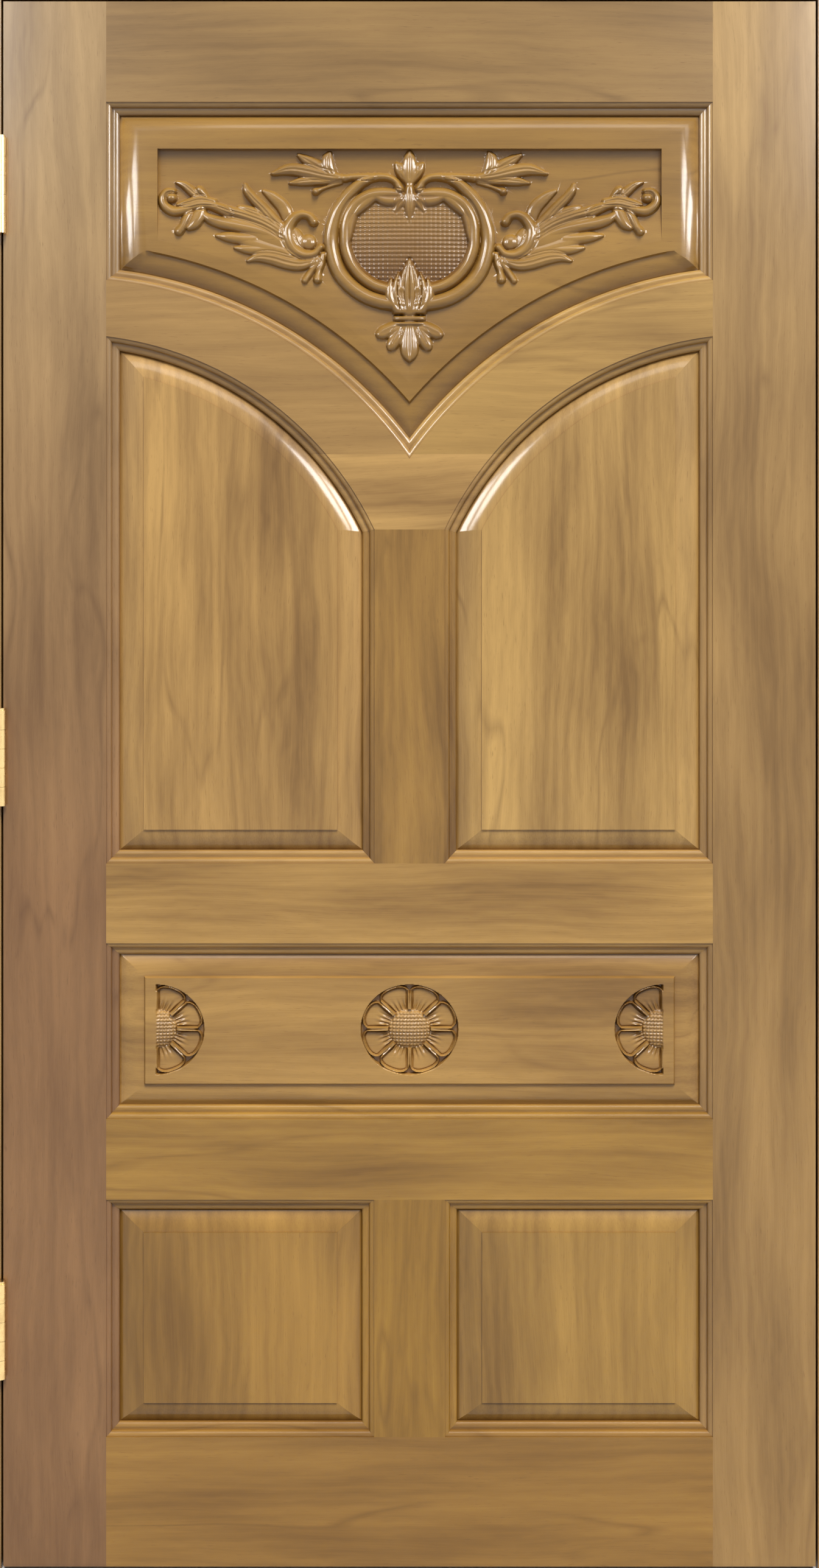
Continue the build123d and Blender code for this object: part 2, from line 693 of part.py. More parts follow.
level_rails = [
    ("top_rail", "top_rail", carved_top, leaf_top),
    ("left_branch", "right_branch", arch_side_top, carved_side_foot),
    ("lock_rail", "lock_rail", frieze_top, arch_foot),
    ("cross_rail", "cross_rail", lower_top, frieze_foot),
    ("bottom_rail", "bottom_rail", leaf_foot, lower_foot),
]
for left_rail, right_rail, low, high in level_rails:
    height = (low + tenon_shoulder, high - tenon_shoulder)
    reach = half_open + rail_tenon_length
    tenon(left_rail, "left_stile", (-reach, -half_open), height, complex(-tenon_end_gap, 0))
    tenon(right_rail, "right_stile", (half_open, reach), height, complex(tenon_end_gap, 0))

muntin_span = (-half_muntin + tenon_shoulder, half_muntin - tenon_shoulder)
lower_muntin_span = (-half_lower_muntin + tenon_shoulder, half_lower_muntin - tenon_shoulder)
uprights = [
    ("upper_muntin", "lock_rail", "branch_hub", muntin_span, arch_foot, arch_inner_top),
    ("lower_muntin", "bottom_rail", "cross_rail", lower_muntin_span, lower_foot, lower_top),
]
for muntin, rail_below, rail_above, span, low, high in uprights:
    tenon(muntin, rail_below, span, (low - stub_tenon_length, low), complex(0, -tenon_end_gap))
    tenon(muntin, rail_above, span, (high, high + stub_tenon_length), complex(0, tenon_end_gap))

heel_span = (branch_heel.real + 2 * tenon_shoulder, branch_toe.real - 2 * tenon_shoulder)
branch_stub = (hub_top, hub_top + stub_tenon_length)
tenon("branch_hub", "left_branch", heel_span, branch_stub, complex(0, tenon_end_gap))
tenon(
    "branch_hub", "right_branch", (-heel_span[1], -heel_span[0]), branch_stub, complex(0, tenon_end_gap)
)

# The panels
panels = {
    "carved_panel": raised_panel(carved_outline) - sunk_ground(carved_outline) + head_carving(),
    "left_arch_panel": raised_panel(left_arch_outline),
    "right_arch_panel": raised_panel(right_arch_outline),
    "frieze_panel": with_rosettes(raised_panel(frieze_outline)),
    "left_lower_panel": raised_panel(left_lower_outline),
    "right_lower_panel": raised_panel(right_lower_outline),
}

# The frame: the leaf sits in a rebate at the front, and the thick part behind it is the stop
jamb_outer = half_leaf + leaf_gap + jamb_face - rebate_depth
jamb_rebate = half_leaf + leaf_gap
jamb_stop = jamb_rebate - rebate_depth
stop_front = leaf_thickness + stop_gap
head_foot = leaf_top + leaf_gap
head_top = head_foot + jamb_face - rebate_depth
tenon_front = stop_front + (frame_depth - stop_front) / 3
tenon_rear = frame_depth - (frame_depth - stop_front) / 3

right_jamb = block(jamb_rebate, jamb_outer, 0, frame_depth, 0, head_foot)
right_jamb += block(jamb_stop, jamb_rebate, stop_front, frame_depth, 0, head_foot)
head_tenon = block(
    jamb_stop + tenon_shoulder,
    jamb_outer - tenon_shoulder,
    tenon_front,
    tenon_rear,
    head_foot,
    head_foot + head_tenon_height,
)
right_jamb += head_tenon
fixing_depth = (stop_front + frame_depth) / 2
fixing_heights = [
    fixing_end_distance,
    head_foot / 2 - fixing_inner_spacing / 2,
    head_foot / 2 + fixing_inner_spacing / 2,
    head_foot - fixing_end_distance,
]
for height in fixing_heights:
    middle = ((jamb_stop + jamb_outer) / 2, front_y + fixing_depth, height)
    right_jamb -= Pos(*middle) * Rot(0, 90, 0) * Cylinder(fixing_hole_radius, 2 * jamb_face)

head_mortise = block(
    jamb_stop + tenon_shoulder,
    jamb_outer - tenon_shoulder,
    tenon_front,
    tenon_rear,
    head_foot,
    head_foot + head_tenon_height + tenon_end_gap,
)
frame_head = block(-jamb_outer, jamb_outer, 0, frame_depth, head_foot, head_top)
frame_head += block(-jamb_stop, jamb_stop, stop_front, frame_depth, head_foot - rebate_depth, head_foot)
frame_head -= head_mortise
frame_head -= flipped(head_mortise)
frame = {"left_jamb": flipped(right_jamb), "right_jamb": right_jamb, "frame_head": frame_head}

# The hinges, at the viewer's left, with their barrels in front of the gap
hinge_x = -half_leaf - leaf_gap / 2
hinge_y = front_y - knuckle_radius
top_hinge = leaf_top - hinge_from_top - hinge_height / 2
bottom_hinge = leaf_foot + hinge_from_bottom + hinge_height / 2
hinge_places = {
    "bottom": bottom_hinge,
    "middle": (top_hinge + bottom_hinge) / 2,
    "top": top_hinge,
}
knuckle_pitch = hinge_height / knuckle_count


def upright_cylinder(radius, z_low, z_high):
    middle = (hinge_x, hinge_y, (z_low + z_high) / 2)
    return Pos(*middle) * Cylinder(radius, z_high - z_low)


def hinge_plate(middle, x_low, x_high, own_knuckles):
    """A plate with its own knuckles, notched round the other plate's."""
    foot = middle - hinge_height / 2
    plate = block(x_low, x_high, -knuckle_radius, plate_depth, foot, foot + hinge_height)
    for index in range(knuckle_count):
        low, high = foot + index * knuckle_pitch, foot + (index + 1) * knuckle_pitch
        if index not in own_knuckles:
            sides = (x_low - plate_thickness, x_high + plate_thickness)
            plate -= block(*sides, -2 * knuckle_radius, notch_clearance, low, high)
    for index in own_knuckles:
        low = foot + index * knuckle_pitch + (knuckle_gap / 2 if index else 0)
        high = foot + (index + 1) * knuckle_pitch
        high -= knuckle_gap / 2 if index < knuckle_count - 1 else 0
        plate += upright_cylinder(knuckle_radius, low, high)
    return plate - upright_cylinder(pin_radius + pin_clearance, foot - 1, foot + hinge_height + 1)


def screw(x, y, z, direction, clearance=0.0):
    """A countersunk screw whose head lies flush at this place and whose shank points along X."""
    head_depth = screw_head_radius - screw_shank_radius
    profile = Polyline(
        (0, 0),
        (screw_head_radius + clearance, 0),
        (screw_shank_radius + clearance, head_depth),
        (screw_shank_radius + clearance, screw_length + clearance),
        (0, screw_length + clearance),
        close=True,
    )
    turned = revolve(make_face(profile), axis=Axis.Y)
    return Pos(x, y, z) * Rot(0, 0, -90 * direction) * turned


def screw_places(middle):
    """Screws in a zigzag over one plate, as depth and height."""
    lowest = middle - hinge_height / 2 + screw_end_distance
    step = (hinge_height - 2 * screw_end_distance) / (screws_per_plate - 1)
    return [
        (screw_inset + screw_row_gap * (index % 2), lowest + index * step)
        for index in range(screws_per_plate)
    ]


hinges = {}
frame_screws, leaf_screws = [], []
frame_knuckles = range(0, knuckle_count, 2)
leaf_knuckles = range(1, knuckle_count, 2)
frame_side = (-jamb_rebate - plate_thickness, -jamb_rebate)
leaf_side = (-half_leaf, -half_leaf + plate_thickness)
for place, middle in hinge_places.items():
    low, high = middle - hinge_height / 2, middle + hinge_height / 2
    frame_plate = hinge_plate(middle, *frame_side, frame_knuckles)
    leaf_plate = hinge_plate(middle, *leaf_side, leaf_knuckles)
    frame["left_jamb"] -= block(*frame_side, 0, plate_depth, low, high)
    members["left_stile"] -= block(*leaf_side, 0, plate_depth, low, high)
    for depth, height in screw_places(middle):
        frame_place = (frame_side[1], front_y + depth, height, -1)
        leaf_place = (leaf_side[0], front_y + depth, height, 1)
        frame_screws.append(screw(*frame_place))
        leaf_screws.append(screw(*leaf_place))
        frame_plate -= screw(*frame_place, screw_clearance)
        leaf_plate -= screw(*leaf_place, screw_clearance)
        frame["left_jamb"] -= screw(*frame_place, screw_clearance)
        members["left_stile"] -= screw(*leaf_place, screw_clearance)
    pin = upright_cylinder(pin_radius, low, high)
    pin += upright_cylinder(pin_head_radius, high, high + pin_head_height)
    hinges[f"{place}_hinge_frame_plate"] = frame_plate
    hinges[f"{place}_hinge_leaf_plate"] = leaf_plate
    hinges[f"{place}_hinge_pin"] = pin

screws = {"frame_screws": Compound(frame_screws), "leaf_screws": Compound(leaf_screws)}

for name, solid in {**members, **panels, **frame, **hinges, **screws}.items():
    export_step(solid, f"parts/{name}.step")
    print(name, round(solid.volume / 1000, 1), "cm3")
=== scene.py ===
"""A panelled teak door in its frame: the finish of every piece, the carved head panel, the frieze's
rosettes, plain studio light and the camera. Scene units are metres, with X to the viewer's right,
Y away from the viewer and Z up. The carvings are drawn in millimetres."""
import math

import bpy
import numpy as np
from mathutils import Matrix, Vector


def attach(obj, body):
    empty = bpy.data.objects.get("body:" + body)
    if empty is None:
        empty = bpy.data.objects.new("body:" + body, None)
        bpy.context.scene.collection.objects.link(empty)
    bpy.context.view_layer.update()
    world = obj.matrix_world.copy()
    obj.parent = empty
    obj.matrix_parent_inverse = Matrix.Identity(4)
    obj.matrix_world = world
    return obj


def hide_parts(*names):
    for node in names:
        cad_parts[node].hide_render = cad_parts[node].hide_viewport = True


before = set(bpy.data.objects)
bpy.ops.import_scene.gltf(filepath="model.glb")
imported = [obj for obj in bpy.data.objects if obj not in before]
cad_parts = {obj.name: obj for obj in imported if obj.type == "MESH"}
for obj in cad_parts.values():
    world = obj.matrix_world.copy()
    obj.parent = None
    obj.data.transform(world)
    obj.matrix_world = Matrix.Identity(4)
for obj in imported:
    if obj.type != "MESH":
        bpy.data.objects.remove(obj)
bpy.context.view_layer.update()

MM = 0.001

# Raised panels. An inset counts from the outer line of the moulding, and a depth from the leaf's face
front_y = -44.0
tongue_inset = 7.5
tongue_front = 14.0
tongue_back = 26.0
sight_inset = 16.0
side_bevel_width = 33.0
end_bevel_width = 28.0
bevel_top = 6.0
bevel_bulge = 2.5
bevel_steps = 6
step_run = 2.2
mitre = 1.5
arc_steps = 40
field_depth = 2.0
panel_back = 32.0
sharp_edge = math.radians(50)

# The head panel's opening, its sunk ground and the slow rise of the ground along its curved foot
carved_half_width = 398.5
carved_top = 1931.0
carved_arc_radius = 551.5
carved_arc_centre = (453.6, 1148.2)
ground_side_inset = 67.0
ground_top_inset = 61.0
ground_arc_inset = 61.0
ground_drop = 9.0
ramp_width = 84.0
ramp_head_start = 0.12
ramp_at_edge = 0.96
ramp_under_strokes = 0.75
wave_height = 0.12
wave_lengths = (19.0, 31.0, 23.0, 57.0)
wave_bend = 1.3
wave_start = 10.0
carved_columns = 620
carved_rows = 300
carved_share_kept = 0.5

# The frieze's opening and its rosettes
frieze_half_width = 398.5
frieze_foot = 594.0
frieze_top = 825.0
rosette_height = 711.0
rosette_half_width = 64.0
rosette_half_height = 59.0
half_rosette_x = 334.0
rosette_margin = 1.03
half_rosette_slope = 2.5
half_rosette_wall = 0.3
just_inside = 0.999
frieze_spacing = 0.85
petal_count = 8
petal_edge = 0.2
petal_side = (-0.8, 0.1)
petal_rounding = 0.16
rosette_edge = (-0.004, 0.012)
rim_inner, rim_outer = 3.0, 1.8
rim_line_place, rim_line_width, rim_line_depth = 3.6, 0.8, 1.3
rim_depth, rim_fall, rim_fall_length = 0.6, 1.6, 8.0
dish_depth, dish_fall, dish_fall_length = 4.6, 1.2, 12.0
flute_count, flute_depth, flute_middle, flute_length = 20, 2.2, 5.0, 9.0
gusset_depth, gusset_fall = 2.2, 5.0
gusset_start, gusset_end = 0.78, 0.86
eye_radius = 28.0
eye_floor, eye_rise = 6.6, 6.4
eye_hatch = 4.6
eye_hatch_depth = 1.5

# The camera stands in front of the leaf at eye height, and the picture is a little wider than the leaf
view_distance = 2.6
view_width = 1.076
view_middle = 1.0345
eye_level = 1.41
sensor_width = 36.0


# The head panel's carving. Every stroke is a kind of section and a run of (across, up, half width,
# height), drawn for the right half round a middle at this height
carving_height = 1743.0
carving = {
    "ring": [
        ("round", [
            (13, 74, 6.5, 9.5), (18, 84, 5.0, 9.0), (29, 90, 5.2, 8.8), (47, 90, 6.0, 9.0),
            (62, 83.5, 7.0, 9.2), (74.5, 73, 8.2, 9.4), (87.5, 57.5, 9.0, 9.6), (97, 40, 9.6, 9.8),
            (103.5, 16, 10.0, 9.8), (102.5, -6.5, 10.0, 9.8), (94.5, -32, 10.0, 9.8), (80, -51, 10.0, 9.8),
            (59.5, -66, 10.0, 9.8), (35.5, -74.5, 10.0, 9.8), (11, -77, 10.0, 9.8),
        ]),
        ("round", [
            (14, 67, 7.0, 7.4), (30, 68, 8.8, 7.8), (47, 67, 9.0, 8.0), (60.5, 62, 8.8, 8.4),
            (72, 54, 8.4, 8.8), (79.5, 43, 8.2, 9.0), (84, 29.5, 8.2, 9.0), (85, 14.5, 8.2, 9.0),
            (84, -3, 8.2, 9.0), (77, -22, 8.3, 9.0), (65.5, -37.5, 8.4, 9.0), (49.5, -50, 8.4, 9.0),
            (31, -56.5, 8.4, 9.0), (9, -58.5, 8.4, 9.0),
        ]),
        ("body", [(12, 61, 6, 7.6), (25, 59, 8.5, 8.2), (37, 61, 7.5, 8.0), (47, 66, 3, 7.0)]),
        ("body", [(44, 65, 5, 7.2), (56, 58, 8.5, 8.2), (67, 48, 7.5, 8.0), (75, 37, 3, 7.0)]),
        ("body", [(70, 46, 4, 7.0), (77, 30, 7, 8.0), (79, 14, 5, 7.8), (80, 2, 2, 6.5)]),
    ],
    "crest": [
        ("leaf", [(2, 88, 8, 6.0), (10, 99, 9, 7.0), (17, 107, 3.5, 5.0)]),
        ("leaf", [(0, 80, 6, 7.0), (0, 98, 11, 8.5), (0, 112, 9, 8.0), (0, 123, 3, 5.5)]),
        ("leaf", [(2, 68, 6, 6.5), (11, 58, 7, 7.5), (19, 46, 3, 5.5)]),
        ("leaf", [(0, 76, 6, 8.0), (0, 60, 8.5, 9.0), (0, 45, 7, 8.0), (0, 32, 1.5, 5.5)]),
    ],
    "spray": [
        ("round", [(50, 91, 5.2, 8.0), (72, 90.5, 5, 7.6), (90, 89, 5, 7.4), (108, 90, 4, 6.0)]),
        ("leaf", [(92, 87, 5, 5.0), (118, 86.5, 7, 6.5), (140, 85, 6.5, 6.2), (157, 82.5, 2.5, 5.5)]),
        ("leaf", [(106, 93, 6, 5.5), (120, 103, 9, 6.8), (133, 111, 7.5, 6.8), (146, 119, 3, 5.5)]),
        ("leaf", [(100, 91, 6, 6.0), (107, 102, 9.5, 8.5), (108, 114, 8, 7.5), (105, 122, 3, 5.5)]),
        ("leaf", [
            (84, 88.5, 5, 6.5), (112, 92.5, 7.5, 7.8), (136, 98, 9, 8.0), (158, 100.5, 8, 7.6),
            (180, 95, 3, 6.5),
        ]),
        ("round", [(90, 83, 2.6, 3.5), (107, 78, 2.6, 3.5), (118, 74, 3.4, 5), (123.5, 71.5, 5.4, 8.6)]),
    ],
    "acanthus": [
        ("body", [(158, 30, 8, 4.5), (166, 50, 9, 4.8), (180, 64, 7, 4.4), (192, 72, 3, 3.0)]),
        ("body", [(160, 5, 22, 7.0), (185, 14, 20, 7.2), (212, 24, 14, 7.2), (240, 32, 10, 6.8)]),
        ("body", [(146, -12, 11, 6.6), (176, -7, 14, 7.0), (204, 2, 12, 7.0), (230, 11, 6, 6.8)]),
        ("body", [(180, 26, 9, 6.8), (200, 41, 8.5, 7.4), (214, 47.5, 6, 7.2), (225, 50.5, 3, 5.5)]),
        ("leaf", [
            (166, 18, 9, 7.0), (180, 34, 8, 7.8), (193, 49, 7, 8.2), (205, 61, 6.5, 8.4),
            (214, 72, 5.5, 8.0), (216.5, 80, 3.2, 5.5),
        ]),
        ("body", [(180, -6, 11, 6.8), (200, -6, 9, 7.4), (215, -5, 7, 7.4), (229, -3.5, 3, 5.5)]),
        ("body", [(204, 8, 10, 6.8), (222, 9, 8.5, 7.6), (238, 11, 7.5, 7.8), (253, 12.5, 3, 5.5)]),
        ("body", [
            (186, 15, 9, 7.4), (205, 21, 9, 8.2), (228, 26, 9, 8.6), (250, 30.5, 8.5, 8.6),
            (265, 36, 6.5, 8.2), (273, 44.5, 3, 6.0),
        ]),
        ("leaf", [
            (164, 14, 7, 7.8), (190, 30, 7.5, 8.4), (216, 40, 7.5, 8.6), (238, 46, 7, 8.6),
            (254, 51.5, 6, 8.4), (270, 57, 5, 7.5),
        ]),
        ("body", [(124, -12, 6, 5.5), (150, -13, 10, 6.8), (175, -8, 10, 6.8), (200, -9, 3, 5.0)]),
        ("leaf", [
            (118, -18, 5.5, 6.5), (142, -25, 8.5, 7.8), (160, -23, 9.5, 8.2), (182, -17, 9, 8.2),
            (199, -16, 6.5, 7.6), (212, -20.5, 3, 5.5),
        ]),
    ],
    "scroll": [
        ("round", [(132.5, 4, 10, 5.5), (133, 5, 10, 5.5)]),
        ("round", [
            (126.5, 31.5, 6.5, 9.0), (132, 38.5, 5.6, 8.8), (142, 41, 5.8, 8.8), (152, 36, 6.8, 9.0),
            (160, 23, 8.2, 9.2), (159.5, 9, 8.6, 9.4), (152, -4.5, 7.8, 9.2), (140, -12, 6.6, 8.8),
            (126, -11, 5.6, 8.2), (117, -2, 5.2, 8.0),
        ]),
        ("round", [(114, -12, 4.5, 7.0), (116, -24, 4.8, 7.0), (119.5, -35, 4.5, 7), (121, -45, 6.2, 8.8)]),
        ("round", [(121, -22, 4.2, 6.0), (130, -35, 4.6, 6.2), (137.5, -46.5, 4.8, 7.0)]),
    ],
    "end": [
        ("leaf", [
            (262, 55, 5, 6.5), (276, 62, 6.5, 7.6), (287, 72, 6.5, 7.8), (297, 80, 5, 7.0),
            (306.5, 83.5, 2.5, 5.0),
        ]),
        ("round", [(268, 64, 4, 6.5), (275, 72, 6, 8.8), (277, 74, 5.6, 8.6)]),
        ("body", [(274, 52, 7, 7.5), (277, 40, 9.5, 8.2), (283, 29, 8.5, 8.6), (290, 23, 4.5, 7.4)]),
        ("body", [(288, 47, 5, 7.0), (293, 36, 6.5, 8.4), (298, 25, 6, 8.8), (303, 18, 6.5, 8.9)]),
        ("round", [
            (239, 42, 6, 7.0), (263, 54, 7, 8.4), (283, 53, 6.8, 8.8), (299, 46.5, 7, 9.0),
            (312, 45.5, 7, 9.0), (322.5, 53, 6.6, 9.0), (325, 63, 6, 9.0), (319, 71, 5.5, 8.8),
            (311, 71.5, 4.5, 8.0),
        ]),
        ("leaf", [(258, 58, 5, 7.0), (276, 60, 6.5, 8.4), (292, 56, 6, 8.6), (305, 53.5, 2.5, 7.0)]),
        ("round", [(313, 63, 7.0, 9.4), (314, 63, 7.0, 9.4)]),
    ],
    "plume": [
        ("body", [(17, -84, 7, 9.6), (25, -70, 8, 10.3), (26, -56, 6, 10.0), (24, -45, 2.5, 8.4)]),
        ("body", [(11, -84, 7, 9.8), (17, -66, 8, 10.6), (17, -50, 6, 10.3), (14, -37, 2.5, 8.6)]),
        ("fluted", [(0, -84, 12, 10.2), (0, -60, 15.5, 10.9), (0, -40, 12.5, 10.6), (0, -18.5, 2, 8.0)]),
    ],
    "palmette": [
        ("leaf", [(8, -103, 6, 6.5), (21, -109, 8.5, 7.5), (33, -115, 9, 8.0), (39, -117.5, 6, 7.5)]),
        ("leaf", [(5, -103, 7, 7.0), (14, -117, 9.5, 8.0), (22, -130, 8.5, 8.2), (25, -135, 5, 7.0)]),
        ("leaf", [(0, -103, 9, 7.5), (0, -122, 11.5, 9.0), (0, -138, 12.5, 9.2), (0, -150, 4.5, 8.2)]),
    ],
}
stroke_step = 0.6
points_at_once = 6000

# How round the top of each kind of stroke is: the smaller the power, the flatter the top
top_power = {"round": 0.3, "fluted": 0.35, "leaf": 0.42, "body": 0.5}
round_flat_share, round_dome_share = 0.62, 0.38
fluted_groove_depth, fluted_groove_power = 0.2, 6
leaf_vein_depth, leaf_vein_width = 0.14, 0.2
side_vein_depth, side_vein_place, side_vein_width = 0.04, 0.55, 0.14
end_fade = 6

# The trench round a stroke, and the share of what lies there that it cuts away
trench_width = 2.2
trench_share = {"round": 0.2, "fluted": 0.3, "leaf": 0.12, "body": 0.0}

# The hatched cushion inside the ring
cushion_centre = 7.0
cushion_radii = (86.0, 66.0)
cushion_rim, cushion_rise = 1.6, 5.2
hatch_rows, hatch_row_depth = 5.6, 0.85
hatch_columns, hatch_column_depth = 6.0, 0.45

# The bands of the collar, as top, foot, half width and height
collar_bands = [(-82, -91, 23.0, 9.6), (-92.5, -100, 22.0, 8.8), (-101, -105.5, 21.0, 9.2)]
collar_squareness = 4


def through(points):
    """A smooth run through the points of a stroke, sampled closely."""
    run = np.array(points, float)
    run = np.vstack([2 * run[0] - run[1], run, 2 * run[-1] - run[-2]])
    stretches = []
    for a, b, c, d in zip(run, run[1:], run[2:], run[3:]):
        count = max(2, int(np.hypot(*(c - b)[:2]) / stroke_step))
        t = np.linspace(0, 1, count, endpoint=False)[:, None]
        bend = (2 * a - 5 * b + 4 * c - d) * t**2 + (3 * b - a - 3 * c + d) * t**3
        stretches.append((2 * b + (c - a) * t + bend) / 2)
    return np.vstack(stretches + [run[-2:-1]])


def section_height(kind, t, share_along):
    """The height across a stroke, from its middle at 0 to its edges at 1 and -1."""
    inside = np.clip(1 - t**2, 0, 1)
    top = inside ** top_power[kind]
    if kind == "round":
        return round_flat_share * top + round_dome_share * inside
    if kind == "body":
        return top
    fade = np.clip(end_fade * share_along * (1 - share_along), 0, 1)
    if kind == "fluted":
        grooves = np.cos(2 * math.pi * t) ** fluted_groove_power
        return top * (1 - fluted_groove_depth * fade * grooves)
    middle_vein = leaf_vein_depth * np.exp(-((t / leaf_vein_width) ** 2))
    side_veins = side_vein_depth * np.exp(-(((abs(t) - side_vein_place) / side_vein_width) ** 2))
    return top * (1 - (middle_vein + side_veins) * fade)


def lay_stroke(height, x, z, kind, points):
    """Lays one stroke over the relief, with a narrow trench cut round it."""
    run = through(points)
    reach = run[:, 2].max() + trench_width
    near = (x > run[:, 0].min() - reach) & (x < run[:, 0].max() + reach)
    near &= (z > run[:, 1].min() - reach) & (z < run[:, 1].max() + reach)
    where = np.flatnonzero(near)
    ahead = np.gradient(run[:, :2], axis=0)
    ahead /= np.hypot(ahead[:, 0], ahead[:, 1])[:, None] + 1e-9
    for part in np.array_split(where, len(where) // points_at_once + 1):
        off_x = x[part][:, None] - run[None, :, 0]
        off_z = z[part][:, None] - run[None, :, 1]
        spread = (off_x**2 + off_z**2) / run[None, :, 2] ** 2
        best = spread.argmin(axis=1)
        row = np.arange(len(part))
        t = np.sqrt(spread[row, best])
        turn = ahead[best, 0] * off_z[row, best] - ahead[best, 1] * off_x[row, best]
        width = run[best, 2]
        outside = (t - 1) * width
        trench = np.clip(1 - outside / trench_width, 0, 1) * (outside > 0)
        old = height[part] * (1 - trench_share[kind] * trench)
        new = run[best, 3] * section_height(kind, np.copysign(t, turn), best / len(run))
        height[part] = np.where(outside < 0, np.maximum(old, new), old)


def step_between(value, low, high):
    """Rises smoothly from 0 to 1 between two values."""
    share = np.clip((value - low) / (high - low), 0, 1)
    return share * share * (3 - 2 * share)


def cushion(x, z):
    """The hatched cushion inside the ring."""
    bulge = 1 - (x / cushion_radii[0]) ** 2 - ((z - cushion_centre) / cushion_radii[1]) ** 2
    rows = hatch_row_depth * np.cos(math.pi * z / hatch_rows) ** 4
    columns = hatch_column_depth * np.cos(math.pi * x / hatch_columns) ** 6
    raised = cushion_rim + cushion_rise * np.clip(bulge, 0, 1) - rows - columns
    return np.where(bulge > 0, raised, 0)


def collar(x, z):
    """The banded collar that holds the plume over the palmette."""
    raised = np.zeros_like(x)
    for top, foot, half_width, peak in collar_bands:
        middle, half_height = (top + foot) / 2, (top - foot) / 2
        across = np.clip(1 - (x / half_width) ** collar_squareness, 0, 1) ** 0.5
        up = np.clip(1 - ((z - middle) / half_height) ** collar_squareness, 0, 1) ** 0.5
        raised = np.maximum(raised, peak * across * up)
    return raised


def arc_height(x, inset):
    """The height of the head panel's curved foot, moved inwards."""
    reach = (carved_arc_radius + inset) ** 2 - (abs(x) - carved_arc_centre[0]) ** 2
    return carved_arc_centre[1] + np.sqrt(reach)


def carved_relief(x, z):
    """How far the head panel's carving stands above its sunk ground."""
    side, up = abs(x), z - carving_height
    height = cushion(side, up)
    for strokes in carving.values():
        for kind, points in strokes:
            lay_stroke(height, side, up, kind, points)
    height = np.maximum(height, collar(side, up))
    from_centre = np.hypot(side - carved_arc_centre[0], z - carved_arc_centre[1])
    inset = from_centre - carved_arc_radius - ground_arc_inset
    fall = step_between(inset, -ramp_head_start * ramp_width, ramp_width)
    ramp = ground_drop * (1 - fall) / ramp_at_edge
    first, second, third, fourth = wave_lengths
    wave = np.sin(x / first + wave_bend * np.sin(z / second)) * np.sin(z / third + x / fourth)
    ground = ramp + wave_height * wave * np.clip(inset / wave_start, 0, 1)
    return np.maximum(height + ramp_under_strokes * ramp * (height > 0), ground)


def averaged(relief, x, z, spacing):
    """The relief, averaged over four places inside each cell so that its edges come out clean."""
    quarter = spacing / 4
    places = [(quarter, quarter), (-quarter, quarter), (quarter, -quarter), (-quarter, -quarter)]
    return sum(relief(x + across, z + up) for across, up in places) / len(places)


def rosette(x, z):
    """One rosette, as depth below the field: eight rimmed and dished petals round a hatched eye."""
    radius = np.hypot(x / rosette_half_width, z / rosette_half_height)
    real_radius = radius * rosette_half_width
    angle = np.arctan2(z / rosette_half_height, x / rosette_half_width)
    half_petal = math.pi / petal_count
    turn = np.mod(angle, 2 * half_petal) - half_petal
    edge_distance = (half_petal - abs(turn)) * real_radius
    tip = 1.0 - petal_rounding * abs(turn / half_petal) ** 4
    margin = np.minimum(edge_distance - petal_edge, (tip - radius) * rosette_half_width)
    from_eye = real_radius - eye_radius

    rim_share = 1 - step_between(margin, rim_outer, rim_inner)
    rim = rim_depth + rim_fall * np.exp(-from_eye / rim_fall_length)
    rim_line = rim_line_depth * np.exp(-(((margin - rim_line_place) / rim_line_width) ** 2))
    dish = dish_depth + dish_fall * np.exp(-from_eye / dish_fall_length)
    flute_fade = np.exp(-(((from_eye - flute_middle) / flute_length) ** 2))
    flutes = flute_depth * np.cos(turn * flute_count) ** 2 * flute_fade
    petal = (dish + flutes + rim_line) * (1 - rim_share) + rim * rim_share
    gusset = gusset_depth + gusset_fall * step_between(radius, gusset_start, gusset_end)
    depth = petal + (gusset - petal) * step_between(-margin, *petal_side)

    eye_up = np.sqrt(np.clip(1 - (real_radius / eye_radius) ** 2, 0, 1))
    hatch = np.cos(math.pi * x / eye_hatch) ** 6 + np.cos(math.pi * z / eye_hatch) ** 6
    eye = eye_floor - eye_rise * eye_up + eye_hatch_depth * np.clip(hatch, 0, 1)
    depth = np.where(real_radius < eye_radius, eye, depth)
    return depth * step_between(1.0 - radius, *rosette_edge)


def frieze_relief(x, z):
    """The rosettes' depth over the frieze's field: one whole, and two cut through their middles."""
    up = z - rosette_height
    whole = rosette(x, up)
    halves = rosette(abs(x) - half_rosette_x, up)
    kept = step_between(half_rosette_x - abs(x), 0, half_rosette_slope)
    return np.maximum(whole, halves * kept)


def settle(piece):
    """Keeps the mesh that the piece's modifiers make of it."""
    graph = bpy.context.evaluated_depsgraph_get()
    shown = piece.evaluated_get(graph)
    piece.data = bpy.data.meshes.new_from_object(shown, preserve_all_data_layers=True, depsgraph=graph)
    piece.modifiers.clear()


